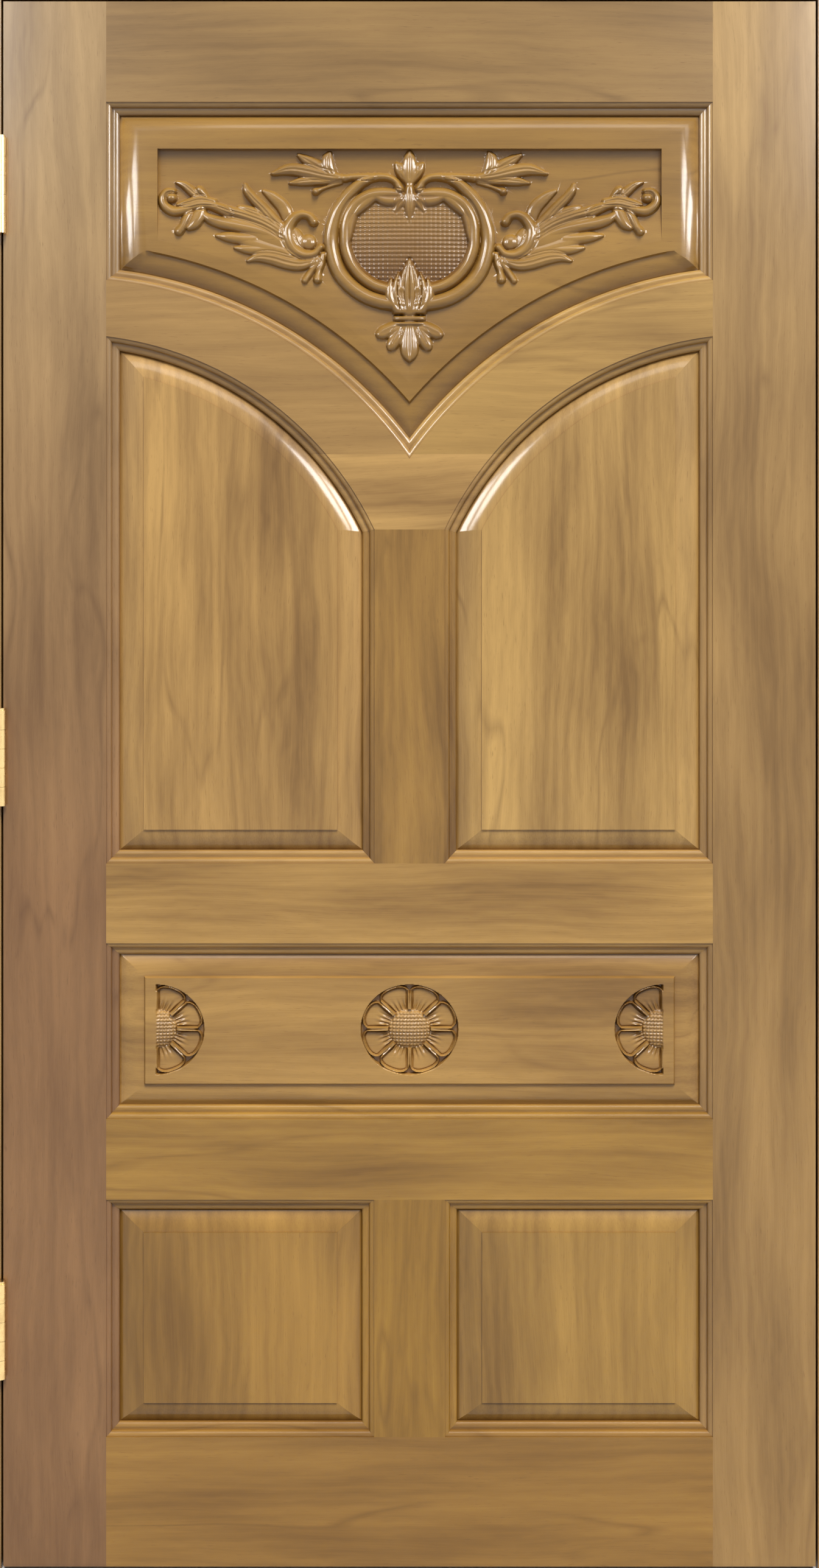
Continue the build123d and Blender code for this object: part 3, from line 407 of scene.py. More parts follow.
class Skin:
    """A mesh in the making. Points are across, depth behind the leaf's face and up, in millimetres."""

    def __init__(self):
        self.points, self.faces = [], []

    def add(self, across, depth, up):
        """Adds points and returns their numbers."""
        start = sum(len(block) for block in self.points)
        block = np.stack(np.broadcast_arrays(across, front_y + np.asarray(depth), up), axis=-1)
        block = block.reshape(-1, 3)
        self.points.append(block)
        return list(range(start, start + len(block)))

    def band(self, outer, inner):
        """Faces between two rings with the same count of points."""
        for i in range(len(outer)):
            j = (i + 1) % len(outer)
            self.faces.append((outer[i], outer[j], inner[j], inner[i]))

    def net(self, grid):
        """A face for each cell of a grid of points."""
        low, high = grid[:-1], grid[1:]
        for corners in zip(low[:, :-1].flat, low[:, 1:].flat, high[:, 1:].flat, high[:, :-1].flat):
            self.faces.append(corners)

    def shares(self, run):
        """How far along a run of points each point lies, from 0 to 1."""
        steps = np.linalg.norm(np.diff(np.vstack(self.points)[run], axis=0), axis=1)
        return np.concatenate([[0], np.cumsum(steps)]) / steps.sum()

    def stitch(self, coarse, fine):
        """Faces between two rings with different counts. Each ring is a list of sides, each a list of
        points that ends where the next side starts."""
        for outer, inner in zip(coarse, fine):
            outer_at, inner_at = self.shares(outer), self.shares(inner)
            i, j = 0, 0
            while i < len(outer) - 1 or j < len(inner) - 1:
                outer_left, inner_left = i < len(outer) - 1, j < len(inner) - 1
                if outer_left and (not inner_left or outer_at[i + 1] <= inner_at[j + 1]):
                    self.faces.append((outer[i], outer[i + 1], inner[j]))
                    i += 1
                else:
                    self.faces.append((outer[i], inner[j + 1], inner[j]))
                    j += 1

    def piece(self, name, share_kept=1.0):
        """The finished piece, with smooth shading between its sharp edges."""
        mesh = bpy.data.meshes.new(name)
        mesh.from_pydata((np.vstack(self.points) * MM).tolist(), [], self.faces)
        mesh.validate()
        made = bpy.data.objects.new(name, mesh)
        bpy.context.collection.objects.link(made)
        if share_kept < 1:
            made.modifiers.new("thin", "DECIMATE").ratio = share_kept
            settle(made)
        made.data.polygons.foreach_set("use_smooth", [True] * len(made.data.polygons))
        made.data.set_sharp_from_angle(angle=sharp_edge)
        made.modifiers.new("even", "WEIGHTED_NORMAL").keep_sharp = True
        settle(made)
        return made


def bevel_rings():
    """The rings of a raised panel from its back to its field, as side inset, end inset and depth."""
    side_field, end_field = sight_inset + side_bevel_width, sight_inset + end_bevel_width
    rings = [
        (side_field, end_field, panel_back),
        (sight_inset, sight_inset, tongue_back),
        (tongue_inset, tongue_inset, tongue_back),
        (tongue_inset, tongue_inset, tongue_front),
    ]
    for step in range(bevel_steps + 1):
        share = step / bevel_steps
        bulge = 4 * bevel_bulge * share * (1 - share)
        side = sight_inset + side_bevel_width * share - bulge / 2
        end = sight_inset + end_bevel_width * share - bulge / 2
        rings.append((side, end, tongue_front + (bevel_top - tongue_front) * share - bulge))
    rings.append((side_field + step_run, end_field + step_run, field_depth))
    return rings


def carved_sides(side_inset, end_inset):
    """The head panel's outline as five sides, each a list of (across, up). Points beside the corners
    keep the mitres crisp."""
    half = carved_half_width - side_inset
    top = carved_top - end_inset
    across = np.concatenate([[0], np.linspace(mitre, half, arc_steps)])
    arc = arc_height(across, end_inset)
    rise = np.array([arc[-1], arc[-1] + mitre, top - mitre, top])
    level = np.array([half, half - mitre, mitre - half, -half])
    return [
        (across, arc),
        (np.full_like(rise, half), rise),
        (level, np.full_like(level, top)),
        (np.full_like(rise, -half), rise[::-1]),
        (-across[::-1], arc[::-1]),
    ]


def ring_from_sides(skin, sides, depth):
    """Adds a ring and returns its points side by side, each side with the next one's first point."""
    across = np.concatenate([side[0][:-1] for side in sides])
    up = np.concatenate([side[1][:-1] for side in sides])
    if callable(depth):
        depth = depth(across, up)
    numbers = skin.add(across, depth, up)
    ends = np.cumsum([0] + [len(side[0]) - 1 for side in sides])
    closed = numbers + numbers[:1]
    return [closed[start:end + 1] for start, end in zip(ends, ends[1:])]


def flat(ring):
    """A ring's points without its sides."""
    return [number for side in ring for number in side[:-1]]


def stepped_on_foot(sides, depth):
    """The depth of a ring's points. Only on the foot does the bevel end in a step below the field."""
    if depth >= tongue_front:
        return depth
    step_share = (tongue_front - depth) / (tongue_front - bevel_top)
    rise = step_share * (bevel_top - field_depth)
    half, foot_end = sides[1][0][0], sides[1][1][0]

    def depth_at(across, up):
        """The depth at these points of the ring."""
        on_foot = (up < foot_end + 1) & (abs(across) < half - 1)
        return np.where(on_foot, depth, np.maximum(depth - rise, field_depth))

    return depth_at


def carved_panel_skin():
    """The head panel: tongue, bevels and border round a sunk ground with its carving."""
    skin = Skin()
    rings = []
    for side_inset, end_inset, depth in bevel_rings():
        sides = carved_sides(side_inset, end_inset)
        rings.append(ring_from_sides(skin, sides, stepped_on_foot(sides, depth)))
    skin.faces.append(tuple(flat(rings[0])))
    for outer, inner in zip(rings, rings[1:]):
        skin.band(flat(outer), flat(inner))

    columns, rows = ((carved_columns, carved_rows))
    half = carved_half_width - ground_side_inset
    top = carved_top - ground_top_inset
    x = np.linspace(-half, half, columns + 1)
    foot = arc_height(x, ground_arc_inset)
    share = np.linspace(0, 1, rows + 1)
    z = foot[None, :] + share[:, None] * (top - foot)[None, :]
    across = np.broadcast_to(x, z.shape)
    spacing = 2 * half / columns
    relief = averaged(carved_relief, across.ravel(), z.ravel(), spacing).reshape(z.shape)
    relief[0, :] = ground_drop
    depth = field_depth + ground_drop - relief
    grid = np.array(skin.add(across, depth, z)).reshape(z.shape)
    skin.net(grid)

    middle = columns // 2
    rim_right = [grid[0, -1]] + skin.add(half, field_depth, z[1:, -1])
    rim_top = [rim_right[-1]] + skin.add(x[-2::-1], field_depth, top)
    rim_left = [rim_top[-1]] + skin.add(-half, field_depth, z[-2:0:-1, 0]) + [grid[0, 0]]
    walls = [
        (rim_right, list(grid[:, -1])),
        (rim_top, list(grid[-1, ::-1])),
        (rim_left, list(grid[::-1, 0])),
    ]
    for rim, foot_line in walls:
        for i in range(len(rim) - 1):
            corners = [rim[i], rim[i + 1], foot_line[i + 1], foot_line[i]]
            skin.faces.append(tuple(dict.fromkeys(corners)))
    fine = [
        list(grid[0, middle:]),
        rim_right,
        rim_top,
        rim_left,
        list(grid[0, :middle + 1]),
    ]
    skin.stitch(rings[-1], fine)
    return skin


def spaced(*stops):
    """Places along a line: a start, then for each stretch where it ends and how many steps it has."""
    places = [stops[0]]
    for end, steps in stops[1:]:
        places += list(np.linspace(places[-1], end, steps + 1)[1:])
    return np.array(places)


def frieze_panel_skin():
    """The frieze panel: a raised panel with rosettes sunk in its field."""
    skin = Skin()
    rings = []
    for side_inset, end_inset, depth in bevel_rings():
        half = frieze_half_width - side_inset
        low, high = frieze_foot + end_inset, frieze_top - end_inset
        corners = [(-half, low), (half, low), (half, high), (-half, high)]
        sides = []
        for start, end in zip(corners, corners[1:] + corners[:1]):
            length = math.dist(start, end)
            along = np.array([0, mitre / length, 1 - mitre / length, 1])
            sides.append(tuple(a + (b - a) * along for a, b in zip(start, end)))
        rings.append(ring_from_sides(skin, sides, depth))
    skin.faces.append(tuple(flat(rings[0])))
    for outer, inner in zip(rings[:-1], rings[1:-1]):
        skin.band(flat(outer), flat(inner))

    spacing = frieze_spacing
    reach, rise = rosette_half_width * rosette_margin, rosette_half_height * rosette_margin
    wide = int(reach / spacing)
    tall = int(2 * rosette_half_height * rosette_margin / spacing)
    half = frieze_half_width - sight_inset - side_bevel_width - step_run
    wall = half_rosette_x + half_rosette_wall
    x = spaced(
        -half, (-wall, 1), (-half_rosette_x, 1), (-half_rosette_x + reach, wide), (-reach, 1),
        (reach, 2 * wide), (half_rosette_x - reach, 1), (half_rosette_x, wide), (wall, 1), (half, 1),
    )
    low = frieze_foot + sight_inset + end_bevel_width + step_run
    high = frieze_top - sight_inset - end_bevel_width - step_run
    z = spaced(low, (rosette_height - rise, 1), (rosette_height + rise, tall), (high, 1))
    across, up = np.meshgrid(x, z)
    sunk = averaged(frieze_relief, across.ravel(), up.ravel(), spacing).reshape(up.shape)
    sunk[:, np.abs(x) > half_rosette_x + half_rosette_wall / 2] = 0
    inner_wall = np.isclose(np.abs(x), half_rosette_x)
    sunk[:, inner_wall] = frieze_relief(across[:, inner_wall] * just_inside, up[:, inner_wall])
    sunk[[0, -1], :] = 0
    grid = np.array(skin.add(across, field_depth + sunk, up)).reshape(up.shape)
    skin.net(grid)
    fine = [list(grid[0, :]), list(grid[:, -1]), list(grid[-1, ::-1]), list(grid[::-1, 0])]
    skin.stitch(rings[-2], fine)
    return skin


def feed(tree, node, inputs):
    """Gives a node its inputs. A value that is a socket is linked, and any other is set."""
    for name, value in inputs.items():
        if isinstance(value, bpy.types.NodeSocket):
            tree.links.new(value, node.inputs[name])
        else:
            node.inputs[name].default_value = value


def put(tree, kind, inputs=None, **settings):
    """Adds a node with these settings and inputs."""
    node = tree.nodes.new(kind)
    for name, value in settings.items():
        setattr(node, name, value)
    feed(tree, node, inputs or {})
    return node


def calc(tree, operation, first, second=0.0, clamp=False):
    """One step of arithmetic between two values."""
    node = put(tree, "ShaderNodeMath", {0: first, 1: second}, operation=operation, use_clamp=clamp)
    return node.outputs[0]


def blend_colours(tree, share, first, second, blend_type="MIX"):
    """Blends a share of the second colour into the first."""
    inputs = {0: share, 6: first, 7: second}
    return put(tree, "ShaderNodeMix", inputs, data_type="RGBA", blend_type=blend_type).outputs[2]


def between(tree, value, low, high, to_low=0.0, to_high=1.0):
    """Maps a range of values to another, and holds it there."""
    node = put(tree, "ShaderNodeMapRange", {
        "Value": value, "From Min": low, "From Max": high, "To Min": to_low, "To Max": to_high,
    })
    return node.outputs[0]


def new_group(name, inputs, outputs):
    """A shader node group with named sockets, and its two end nodes."""
    tree = bpy.data.node_groups.new(name, "ShaderNodeTree")
    for label, kind, value in inputs:
        socket = tree.interface.new_socket(label, in_out="INPUT", socket_type=kind)
        socket.default_value = value
    for label, kind in outputs:
        tree.interface.new_socket(label, in_out="OUTPUT", socket_type=kind)
    return tree, tree.nodes.new("NodeGroupInput").outputs, tree.nodes.new("NodeGroupOutput").inputs


def stretched_noise(tree, place, scale, detail, roughness=0.55):
    """Noise that is drawn out where its scale is low."""
    moved = put(tree, "ShaderNodeMapping", {"Vector": place, "Scale": scale})
    noise = put(tree, "ShaderNodeTexNoise", {
        "Vector": moved.outputs[0], "Scale": 1.0, "Detail": detail, "Roughness": roughness,
    })
    return noise.outputs[0]


# The grain's layers: scale across, across and along, detail, roughness, range of the noise that counts,
# and share in the tone. The growth rings have the rest of the tone.
grain_layers = {
    "patch": ((6, 6, 2.0), 2.0, 0.55, (0.34, 0.66), 0.34),
    "broad": ((18, 18, 2.4), 3.0, 0.55, (0.32, 0.68), 0.34),
    "streak": ((60, 60, 3.0), 4.0, 0.6, (0.3, 0.7), 0.14),
    "fibre": ((700, 700, 14), 2.0, 0.55, (0.3, 0.7), 0.10),
}
ring_share = 0.08
sway_scale, sway_width = (9, 9, 1.6), 0.06
pore_scale, pore_range, pore_strength = (1100, 1100, 60), (0.66, 0.76), 0.4
vein_scale, vein_middle, vein_width, vein_strength = (5, 5, 0.9), 0.46, 0.012, 0.55
vein_broken_by = (0.42, 0.62)
# The heights between which the tint runs from foot to head, painting sheen and light stronger towards the
# head
tone_and_sheen_foot_height, tone_and_sheen_head_height = 0.9, 1.85
# How far ambient occlusion looks, and how closed a crevice must be to begin and to take full painted shade
crevice_shade_reach = 0.012
crevice_shade_begins, crevice_shade_full = 0.9, 0.35


def grain_group():
    """Straight teak grain along Z: soft patches and streaks, growth rings, fibres, veins and pores."""
    tree, given, out = new_group(
        "teak_grain",
        [
            ("Place", "NodeSocketVector", (0, 0, 0)),
            ("Light", "NodeSocketColor", (0.5, 0.3, 0.12, 1)),
            ("Dark", "NodeSocketColor", (0.25, 0.13, 0.05, 1)),
            ("Contrast", "NodeSocketFloat", 1.0),
            ("Foot", "NodeSocketColor", (1, 1, 1, 1)),
            ("Head", "NodeSocketColor", (1, 1, 1, 1)),
        ],
        [("Color", "NodeSocketColor"), ("Height", "NodeSocketFloat"), ("Roughness", "NodeSocketFloat")],
    )
    place = given["Place"]
    sway = stretched_noise(tree, place, sway_scale, 2.0)
    shift = calc(tree, "MULTIPLY", calc(tree, "SUBTRACT", sway, 0.5), sway_width)
    offset = put(tree, "ShaderNodeCombineXYZ", {"X": shift})
    swayed = put(tree, "ShaderNodeVectorMath", {0: place, 1: offset.outputs[0]}, operation="ADD").outputs[0]
    pore = stretched_noise(tree, swayed, pore_scale, 1.0)
    rings = put(tree, "ShaderNodeTexWave", {
        "Vector": swayed, "Scale": 20.0, "Distortion": 3.0, "Detail": 2.0, "Detail Scale": 1.2,
    }, wave_type="RINGS", rings_direction="Z", wave_profile="SIN").outputs[1]
    noises, tone = {}, 0.0
    for layer, (scale, detail, roughness, counted, share) in grain_layers.items():
        noises[layer] = stretched_noise(tree, swayed, scale, detail, roughness)
        part = calc(tree, "MULTIPLY", between(tree, noises[layer], *counted), share)
        tone = calc(tree, "ADD", tone, part)
    tone = calc(tree, "ADD", tone, calc(tree, "MULTIPLY", rings, ring_share))
    centred = calc(tree, "MULTIPLY", calc(tree, "SUBTRACT", tone, 0.5), given["Contrast"])
    level = calc(tree, "ADD", centred, 0.5, clamp=True)
    colour = blend_colours(tree, level, given["Dark"], given["Light"])
    vein_place = stretched_noise(tree, swayed, vein_scale, 3.0)
    from_vein = calc(tree, "ABSOLUTE", calc(tree, "SUBTRACT", vein_place, vein_middle))
    vein = between(tree, from_vein, 0.0, vein_width, 1.0, 0.0)
    broken = between(tree, noises["streak"], *vein_broken_by)
    vein = calc(tree, "MULTIPLY", calc(tree, "MULTIPLY", vein, broken), vein_strength)
    veined = blend_colours(tree, vein, colour, given["Dark"])
    pores = between(tree, pore, *pore_range)
    marked = blend_colours(tree, calc(tree, "MULTIPLY", pores, pore_strength), veined, given["Dark"])
    # Tints the board from foot to head: its tone, and painted sheen and light that grow towards the head
    where = put(tree, "ShaderNodeTexCoord").outputs["Object"]
    up = put(tree, "ShaderNodeSeparateXYZ", {0: where}).outputs["Z"]
    along = between(tree, up, tone_and_sheen_foot_height, tone_and_sheen_head_height)
    tone_and_sheen = blend_colours(tree, along, given["Foot"], given["Head"])
    toned = blend_colours(tree, 1.0, marked, tone_and_sheen, "MULTIPLY")
    tree.links.new(toned, out["Color"])
    fibre = noises["fibre"]
    height = calc(tree, "SUBTRACT", calc(tree, "MULTIPLY", fibre, 0.5), calc(tree, "MULTIPLY", pores, 0.5))
    tree.links.new(height, out["Height"])
    tree.links.new(between(tree, fibre, 0.3, 0.7, 0.46, 0.36), out["Roughness"])
    return tree


def crevice_shade_group():
    """Paints shade where the finish lies deep, in quirks and carving: the more closed in by ambient
    occlusion, the darker.
    """
    tree, given, out = new_group(
        "crevice_shade",
        [
            ("Color", "NodeSocketColor", (0.5, 0.5, 0.5, 1)),
            ("Shade_colour", "NodeSocketColor", (0.4, 0.3, 0.2, 1)),
            ("Strength", "NodeSocketFloat", 0.6),
        ],
        [("Color", "NodeSocketColor")],
    )
    openness = put(tree, "ShaderNodeAmbientOcclusion", {"Distance": crevice_shade_reach}, samples=4).outputs["AO"]
    deep = between(tree, openness, crevice_shade_full, crevice_shade_begins, 1.0, 0.0)
    mask = calc(tree, "MULTIPLY", deep, given["Strength"])
    shaded_colour = blend_colours(tree, mask, given["Color"], given["Shade_colour"], "MULTIPLY")
    tree.links.new(shaded_colour, out["Color"])
    return tree


def brass_group():
    """Brass with fine lengthwise brushing and a little dulling."""
    tree, given, out = new_group(
        "brushed_brass",
        [
            ("Color", "NodeSocketColor", (0.8, 0.6, 0.3, 1)),
            ("Dull", "NodeSocketColor", (0.4, 0.27, 0.12, 1)),
        ],
        [("Color", "NodeSocketColor"), ("Roughness", "NodeSocketFloat"), ("Height", "NodeSocketFloat")],
    )
    place = put(tree, "ShaderNodeTexCoord").outputs["Object"]
    brush = stretched_noise(tree, place, (1500, 1500, 25), 2.0)
    cloud = stretched_noise(tree, place, (60, 60, 60), 3.0)
    dulled = between(tree, cloud, 0.4, 0.75, 0.0, 0.55)
    tree.links.new(blend_colours(tree, dulled, given["Color"], given["Dull"]), out["Color"])
    tree.links.new(between(tree, cloud, 0.3, 0.7, 0.2, 0.36), out["Roughness"])
    tree.links.new(brush, out["Height"])
    return tree


grain = grain_group()
crevice_shade_tree = crevice_shade_group()
brass = brass_group()

light_teak = (0.450, 0.262, 0.084, 1)
dark_teak = (0.161, 0.080, 0.021, 1)
# The colour of the painted shade in crevices
crevice_shade_colour = (0.42, 0.26, 0.16, 1)
# The colour of the painted shade on the hatched cushion
cushion_shade_colour = (0.57, 0.46, 0.22, 1)

# The cushion's painted shade: how deep behind the leaf's face it starts and ends, and how strong it is at
# its foot and head
cushion_shade_start = (2.9, 3.7)
cushion_shade_end = (11.5, 12.5)
cushion_shade_foot, cushion_shade_head = 0.95, 0.5

varnish = {"Specular IOR Level": 0.1, "Coat Weight": 0.6, "Coat Roughness": 0.15, "Coat IOR": 1.5}


def empty_tree(owner):
    """The cleared node tree of a material or world."""
    owner.use_nodes = True
    owner.node_tree.nodes.clear()
    return owner.node_tree


def finish(name):
    """A new material with a shader, ready for linking."""
    material = bpy.data.materials.new(name)
    tree = empty_tree(material)
    shader = put(tree, "ShaderNodeBsdfPrincipled")
    put(tree, "ShaderNodeOutputMaterial", {"Surface": shader.outputs[0]})
    return material, tree, shader


def cushion_shade(tree, colour):
    """Paints shade on the hatched cushion, stronger towards its foot, and leaves what stands higher."""
    where = put(tree, "ShaderNodeTexCoord").outputs["Object"]
    place = put(tree, "ShaderNodeSeparateXYZ", {0: where}).outputs
    across = calc(tree, "DIVIDE", place["X"], cushion_radii[0] * MM)
    lifted = calc(tree, "SUBTRACT", place["Z"], (carving_height + cushion_centre) * MM)
    up = calc(tree, "DIVIDE", lifted, cushion_radii[1] * MM)
    squares = calc(tree, "ADD", calc(tree, "MULTIPLY", across, across), calc(tree, "MULTIPLY", up, up))
    inside = between(tree, squares, 0.92, 1.0, 1.0, 0.0)
    starts = [(front_y + depth) * MM for depth in cushion_shade_start]
    ends = [(front_y + depth) * MM for depth in cushion_shade_end]
    low = between(tree, place["Y"], *starts)
    in_front = between(tree, place["Y"], *ends, 1.0, 0.0)
    strength = between(tree, up, -0.6, 0.5, cushion_shade_foot, cushion_shade_head)
    mask = calc(tree, "MULTIPLY", calc(tree, "MULTIPLY", inside, in_front), low)
    mask = calc(tree, "MULTIPLY", mask, strength)
    return blend_colours(tree, mask, colour, cushion_shade_colour, "MULTIPLY")


def teak(name, number, level_grain, contrast, foot_tone_and_sheen, head_tone_and_sheen=None, crevice_shade_strength=0.5, cushioned=False):
    """Varnished teak for one board. Each board is cut from its own place in the log."""
    material, tree, shader = finish(name)
    where = put(tree, "ShaderNodeTexCoord").outputs["Object"]
    lean = math.radians(1.2 + 0.7 * math.sin(number * 2.1))
    turn = math.pi / 2 if level_grain else 0.0
    log_place = (0.31 * number + 0.05 * math.cos(number), 0.11 + 0.04 * math.sin(number), 0.7 * number)
    placed = put(tree, "ShaderNodeMapping", {
        "Vector": where, "Rotation": (lean, turn, 0.0), "Location": log_place,
    })
    figure = put(tree, "ShaderNodeGroup", {
        "Place": placed.outputs[0], "Light": light_teak, "Dark": dark_teak, "Contrast": contrast,
        "Foot": (*foot_tone_and_sheen, 1), "Head": (*(head_tone_and_sheen or foot_tone_and_sheen), 1),
    }, node_tree=grain).outputs
    # Painted shade in crevices, from ambient occlusion
    colour = put(tree, "ShaderNodeGroup", {
        "Color": figure["Color"], "Shade_colour": crevice_shade_colour, "Strength": crevice_shade_strength,
    }, node_tree=crevice_shade_tree).outputs["Color"]
    # Painted shade on the cushion, darker towards its foot
    if cushioned:
        colour = cushion_shade(tree, colour)
    bump = put(tree, "ShaderNodeBump", {
        "Height": figure["Height"], "Strength": 0.25, "Distance": 0.0004,
    })
    looks = {"Base Color": colour, "Roughness": figure["Roughness"], "Normal": bump.outputs[0]}
    feed(tree, shader, {**looks, **varnish})
    return material


def brass_finish(name, colour, dull):
    """Brushed brass for the hinges or their screws."""
    material, tree, shader = finish(name)
    metal = put(tree, "ShaderNodeGroup", {"Color": colour, "Dull": dull}, node_tree=brass).outputs
    bump = put(tree, "ShaderNodeBump", {
        "Height": metal["Height"], "Strength": 0.2, "Distance": 0.0002,
    })
    feed(tree, shader, {
        "Base Color": metal["Color"], "Roughness": metal["Roughness"], "Normal": bump.outputs[0],
        "Metallic": 1.0,
    })
    return material


def dress(node, material):
    """Gives one of the solid pieces this finish."""
    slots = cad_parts[node].material_slots
    if not slots:
        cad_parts[node].data.materials.append(material)
    for slot in slots:
        slot.link = "OBJECT"
        slot.material = material


# Boards: whether the grain is level, how strong the figure is, and the tint, at the foot and the head
# of the door where they differ. Each tint is partly the board's tone and partly painted light: the upper
# boards are bluer and greyer than the lower ones as a painted sheen, and the stiles grow brighter and
# bluer towards the head as painted sheen and painted light.
boards = {
    "left_stile": (False, 1.15, (0.70, 0.62, 0.77), (1.07, 1.19, 1.59)),
    "right_stile": (False, 1.2, (0.94, 0.95, 0.99), (1.22, 1.31, 1.48)),
    "top_rail": (True, 1.0, (0.83, 0.85, 0.88)),
    "left_branch": (True, 1.1, (1.01, 1.02, 1.00)),
    "right_branch": (True, 1.1, (1.23, 1.28, 1.15)),
    "branch_hub": (True, 1.3, (1.28, 1.32, 1.32)),
    "upper_muntin": (False, 1.5, (0.89, 0.84, 0.60)),
    "lock_rail": (True, 1.3, (1.24, 1.25, 1.09)),
    "cross_rail": (True, 1.2, (1.07, 1.02, 0.61)),
    "bottom_rail": (True, 1.0, (0.92, 0.84, 0.53)),
    "lower_muntin": (False, 1.3, (0.94, 0.87, 0.41)),
    "left_arch_panel": (False, 1.5, (1.13, 1.14, 1.09)),
    "right_arch_panel": (False, 1.5, (1.19, 1.24, 1.20)),
    "left_lower_panel": (False, 1.25, (0.89, 0.83, 0.53)),
    "right_lower_panel": (False, 1.25, (1.02, 1.01, 0.74)),
    "left_jamb": (False, 1.3, (0.9, 0.9, 0.95)),
    "right_jamb": (False, 1.3, (0.9, 0.9, 0.95)),
    "frame_head": (True, 1.3, (0.9, 0.9, 0.95)),
}
for number, (node, look) in enumerate(boards.items(), start=1):
    dress(node, teak(f"teak_{node}", number, *look))

hinge_brass = brass_finish("hinge_brass", (0.80, 0.58, 0.27, 1), (0.42, 0.28, 0.12, 1))
screw_brass = brass_finish("screw_brass", (0.86, 0.66, 0.34, 1), (0.46, 0.32, 0.14, 1))
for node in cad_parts:
    if node.endswith("_screws"):
        dress(node, screw_brass)
    elif "_hinge_" in node:
        dress(node, hinge_brass)

carved_piece = carved_panel_skin().piece("carved_head_panel", carved_share_kept)
# The panels' tints, like the boards', are partly tone and partly painted sheen
carved_teak = teak("teak_carved_panel", 31, True, 0.9, (0.89, 0.84, 0.53), crevice_shade_strength=0.45, cushioned=True)
carved_piece.data.materials.append(carved_teak)
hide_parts("carved_panel")
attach(carved_piece, "leaf")

frieze_piece = frieze_panel_skin().piece("rosette_frieze_panel")
frieze_teak = teak("teak_frieze_panel", 32, True, 1.3, (1.16, 1.15, 0.99), crevice_shade_strength=0.6)
frieze_piece.data.materials.append(frieze_teak)
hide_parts("frieze_panel")
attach(frieze_piece, "leaf")


# Floor, light and camera
floor_reach = 12.0
floor_seen = (0.86, 0.86, 0.85, 1)
floor_unseen = (0.30, 0.28, 0.25, 1)
sky_colour = (1.0, 0.98, 0.95, 1)
light_from_below, light_from_above, light_from_behind = 0.10, 0.34, 0.45


def seen_rays(tree):
    """1 for what the camera sees, straight on, in reflections or through glass, and 0 elsewhere."""
    rays = put(tree, "ShaderNodeLightPath").outputs
    seen = calc(tree, "MAXIMUM", rays["Is Camera Ray"], rays["Is Glossy Ray"])
    return calc(tree, "MAXIMUM", seen, rays["Is Transmission Ray"])


def pale_floor():
    """A wide pale floor. It looks pale, and throws less light up than it seems to."""
    mesh = bpy.data.meshes.new("floor")
    corners = [(x * floor_reach, y * floor_reach, 0) for x, y in ((-1, -1), (1, -1), (1, 1), (-1, 1))]
    mesh.from_pydata(corners, [], [(0, 1, 2, 3)])
    floor = bpy.data.objects.new("floor", mesh)
    bpy.context.collection.objects.link(floor)
    material = bpy.data.materials.new("floor_paper")
    tree = empty_tree(material)
    pale = put(tree, "ShaderNodeBsdfDiffuse", {"Color": floor_seen})
    dim = put(tree, "ShaderNodeBsdfDiffuse", {"Color": floor_unseen})
    both = put(tree, "ShaderNodeMixShader", {0: seen_rays(tree), 1: dim.outputs[0], 2: pale.outputs[0]})
    put(tree, "ShaderNodeOutputMaterial", {"Surface": both.outputs[0]})
    mesh.materials.append(material)


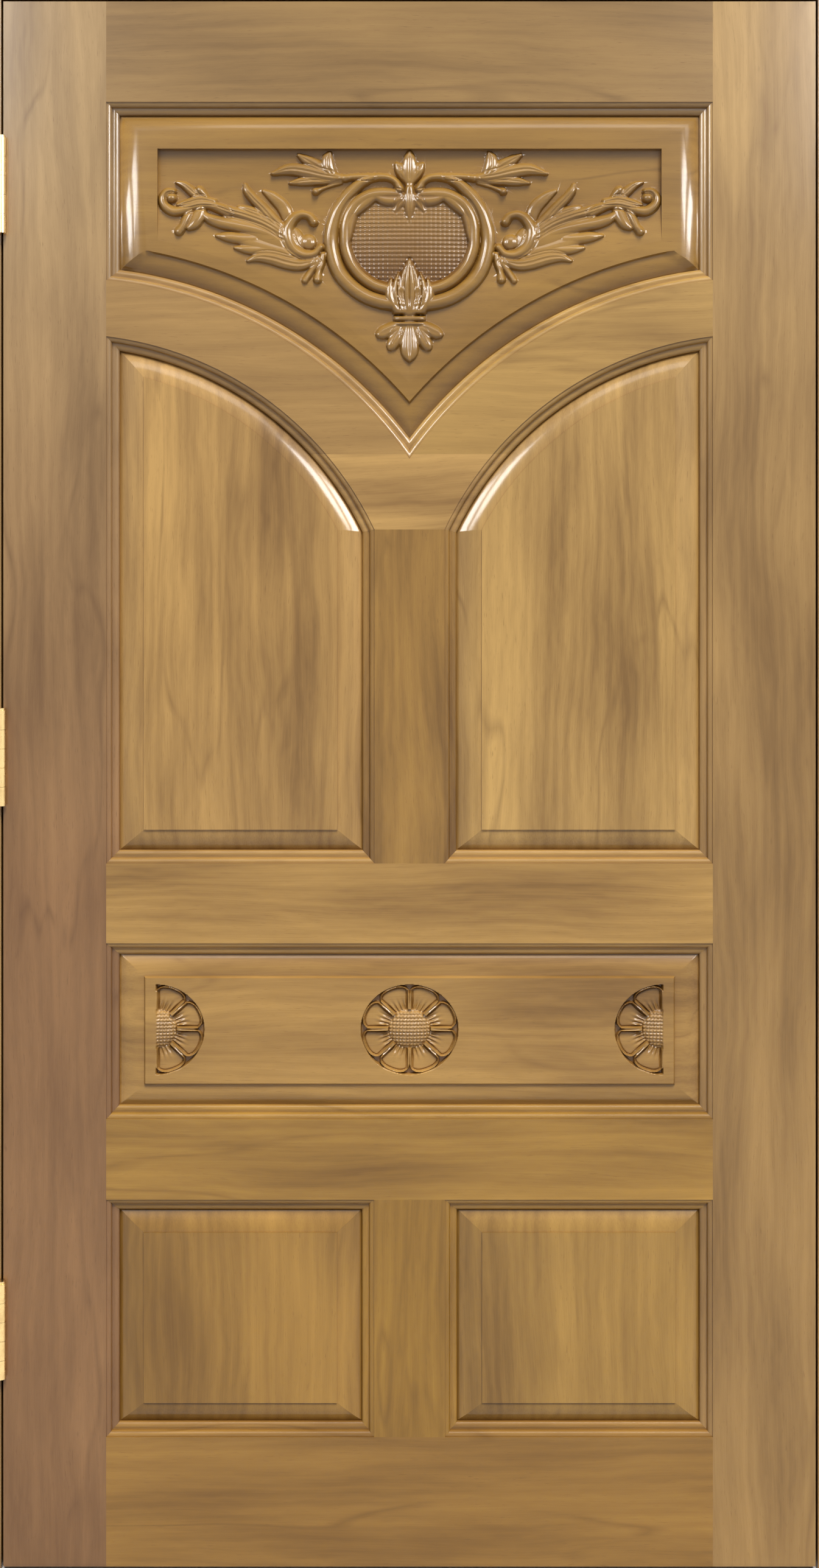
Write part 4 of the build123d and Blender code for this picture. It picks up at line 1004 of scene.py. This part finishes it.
def studio_world():
    """White to the camera, and a soft light on the object, stronger from above and from behind."""
    world = bpy.data.worlds.new("studio")
    bpy.context.scene.world = world
    tree = empty_tree(world)
    direction = put(tree, "ShaderNodeTexCoord").outputs["Generated"]
    toward = put(tree, "ShaderNodeSeparateXYZ", {0: direction}).outputs
    from_above = between(tree, toward["Z"], -0.6, 0.9, light_from_below, light_from_above)
    from_behind = between(tree, toward["Y"], 0.0, 0.5, 0.0, light_from_behind)
    strength = calc(tree, "ADD", from_above, from_behind)
    soft = put(tree, "ShaderNodeBackground", {"Color": sky_colour, "Strength": strength})
    white = put(tree, "ShaderNodeBackground", {"Color": (1, 1, 1, 1), "Strength": 1.0})
    both = put(tree, "ShaderNodeMixShader", {0: seen_rays(tree), 1: soft.outputs[0], 2: white.outputs[0]})
    put(tree, "ShaderNodeOutputWorld", {"Surface": both.outputs[0]})


def soft_box(name, place, aim, width, height, power, glint_only=False):
    """An upright soft light at a place, turned towards another. A glint shows in reflections only."""
    light = bpy.data.lights.new(name, "AREA")
    light.shape = "RECTANGLE"
    light.size = width
    light.size_y = height
    light.energy = power
    lamp = bpy.data.objects.new(name, light)
    bpy.context.collection.objects.link(lamp)
    lamp.location = place
    lamp.rotation_euler = (Vector(aim) - Vector(place)).to_track_quat("-Z", "Y").to_euler()
    lamp.visible_diffuse = not glint_only


def high_light(name, direction, strength, spread):
    """A distant light from one direction, the same on the whole door and not seen in its varnish."""
    light = bpy.data.lights.new(name, "SUN")
    light.energy = strength
    light.angle = spread
    lamp = bpy.data.objects.new(name, light)
    bpy.context.collection.objects.link(lamp)
    lamp.rotation_euler = Vector(direction).to_track_quat("Z", "Y").to_euler()
    lamp.visible_glossy = False


high_light("high_light", (0.15, -0.52, 0.84), 3.9, math.radians(22))
soft_box("high_box", (0.3, -3.0, 4.3), (0, 0, 1.2), 2.6, 1.0, 40)
for side, power in ((-1, 1.0), (1, 1.15)):
    soft_box("outer_glint", (3.3 * side, -2.95, 3.2), (0, 0, 1.6), 1.2, 1.5, 170 * power, glint_only=True)
    soft_box("inner_glint", (1.55 * side, -2.9, 2.8), (0, 0, 1.7), 0.7, 1.0, 62 * power, glint_only=True)
pale_floor()
studio_world()
bpy.context.scene.view_settings.view_transform = "Standard"

camera_data = bpy.data.cameras.new("front_view")
camera_data.sensor_fit = "HORIZONTAL"
camera_data.sensor_width = sensor_width
camera_data.lens = sensor_width * view_distance / view_width
camera_data.shift_y = (view_middle - eye_level) / view_width
camera = bpy.data.objects.new("front_view", camera_data)
camera.location = (0.0, front_y * MM - view_distance, eye_level)
camera.rotation_euler = (math.pi / 2, 0, 0)
bpy.context.collection.objects.link(camera)
bpy.context.scene.camera = camera
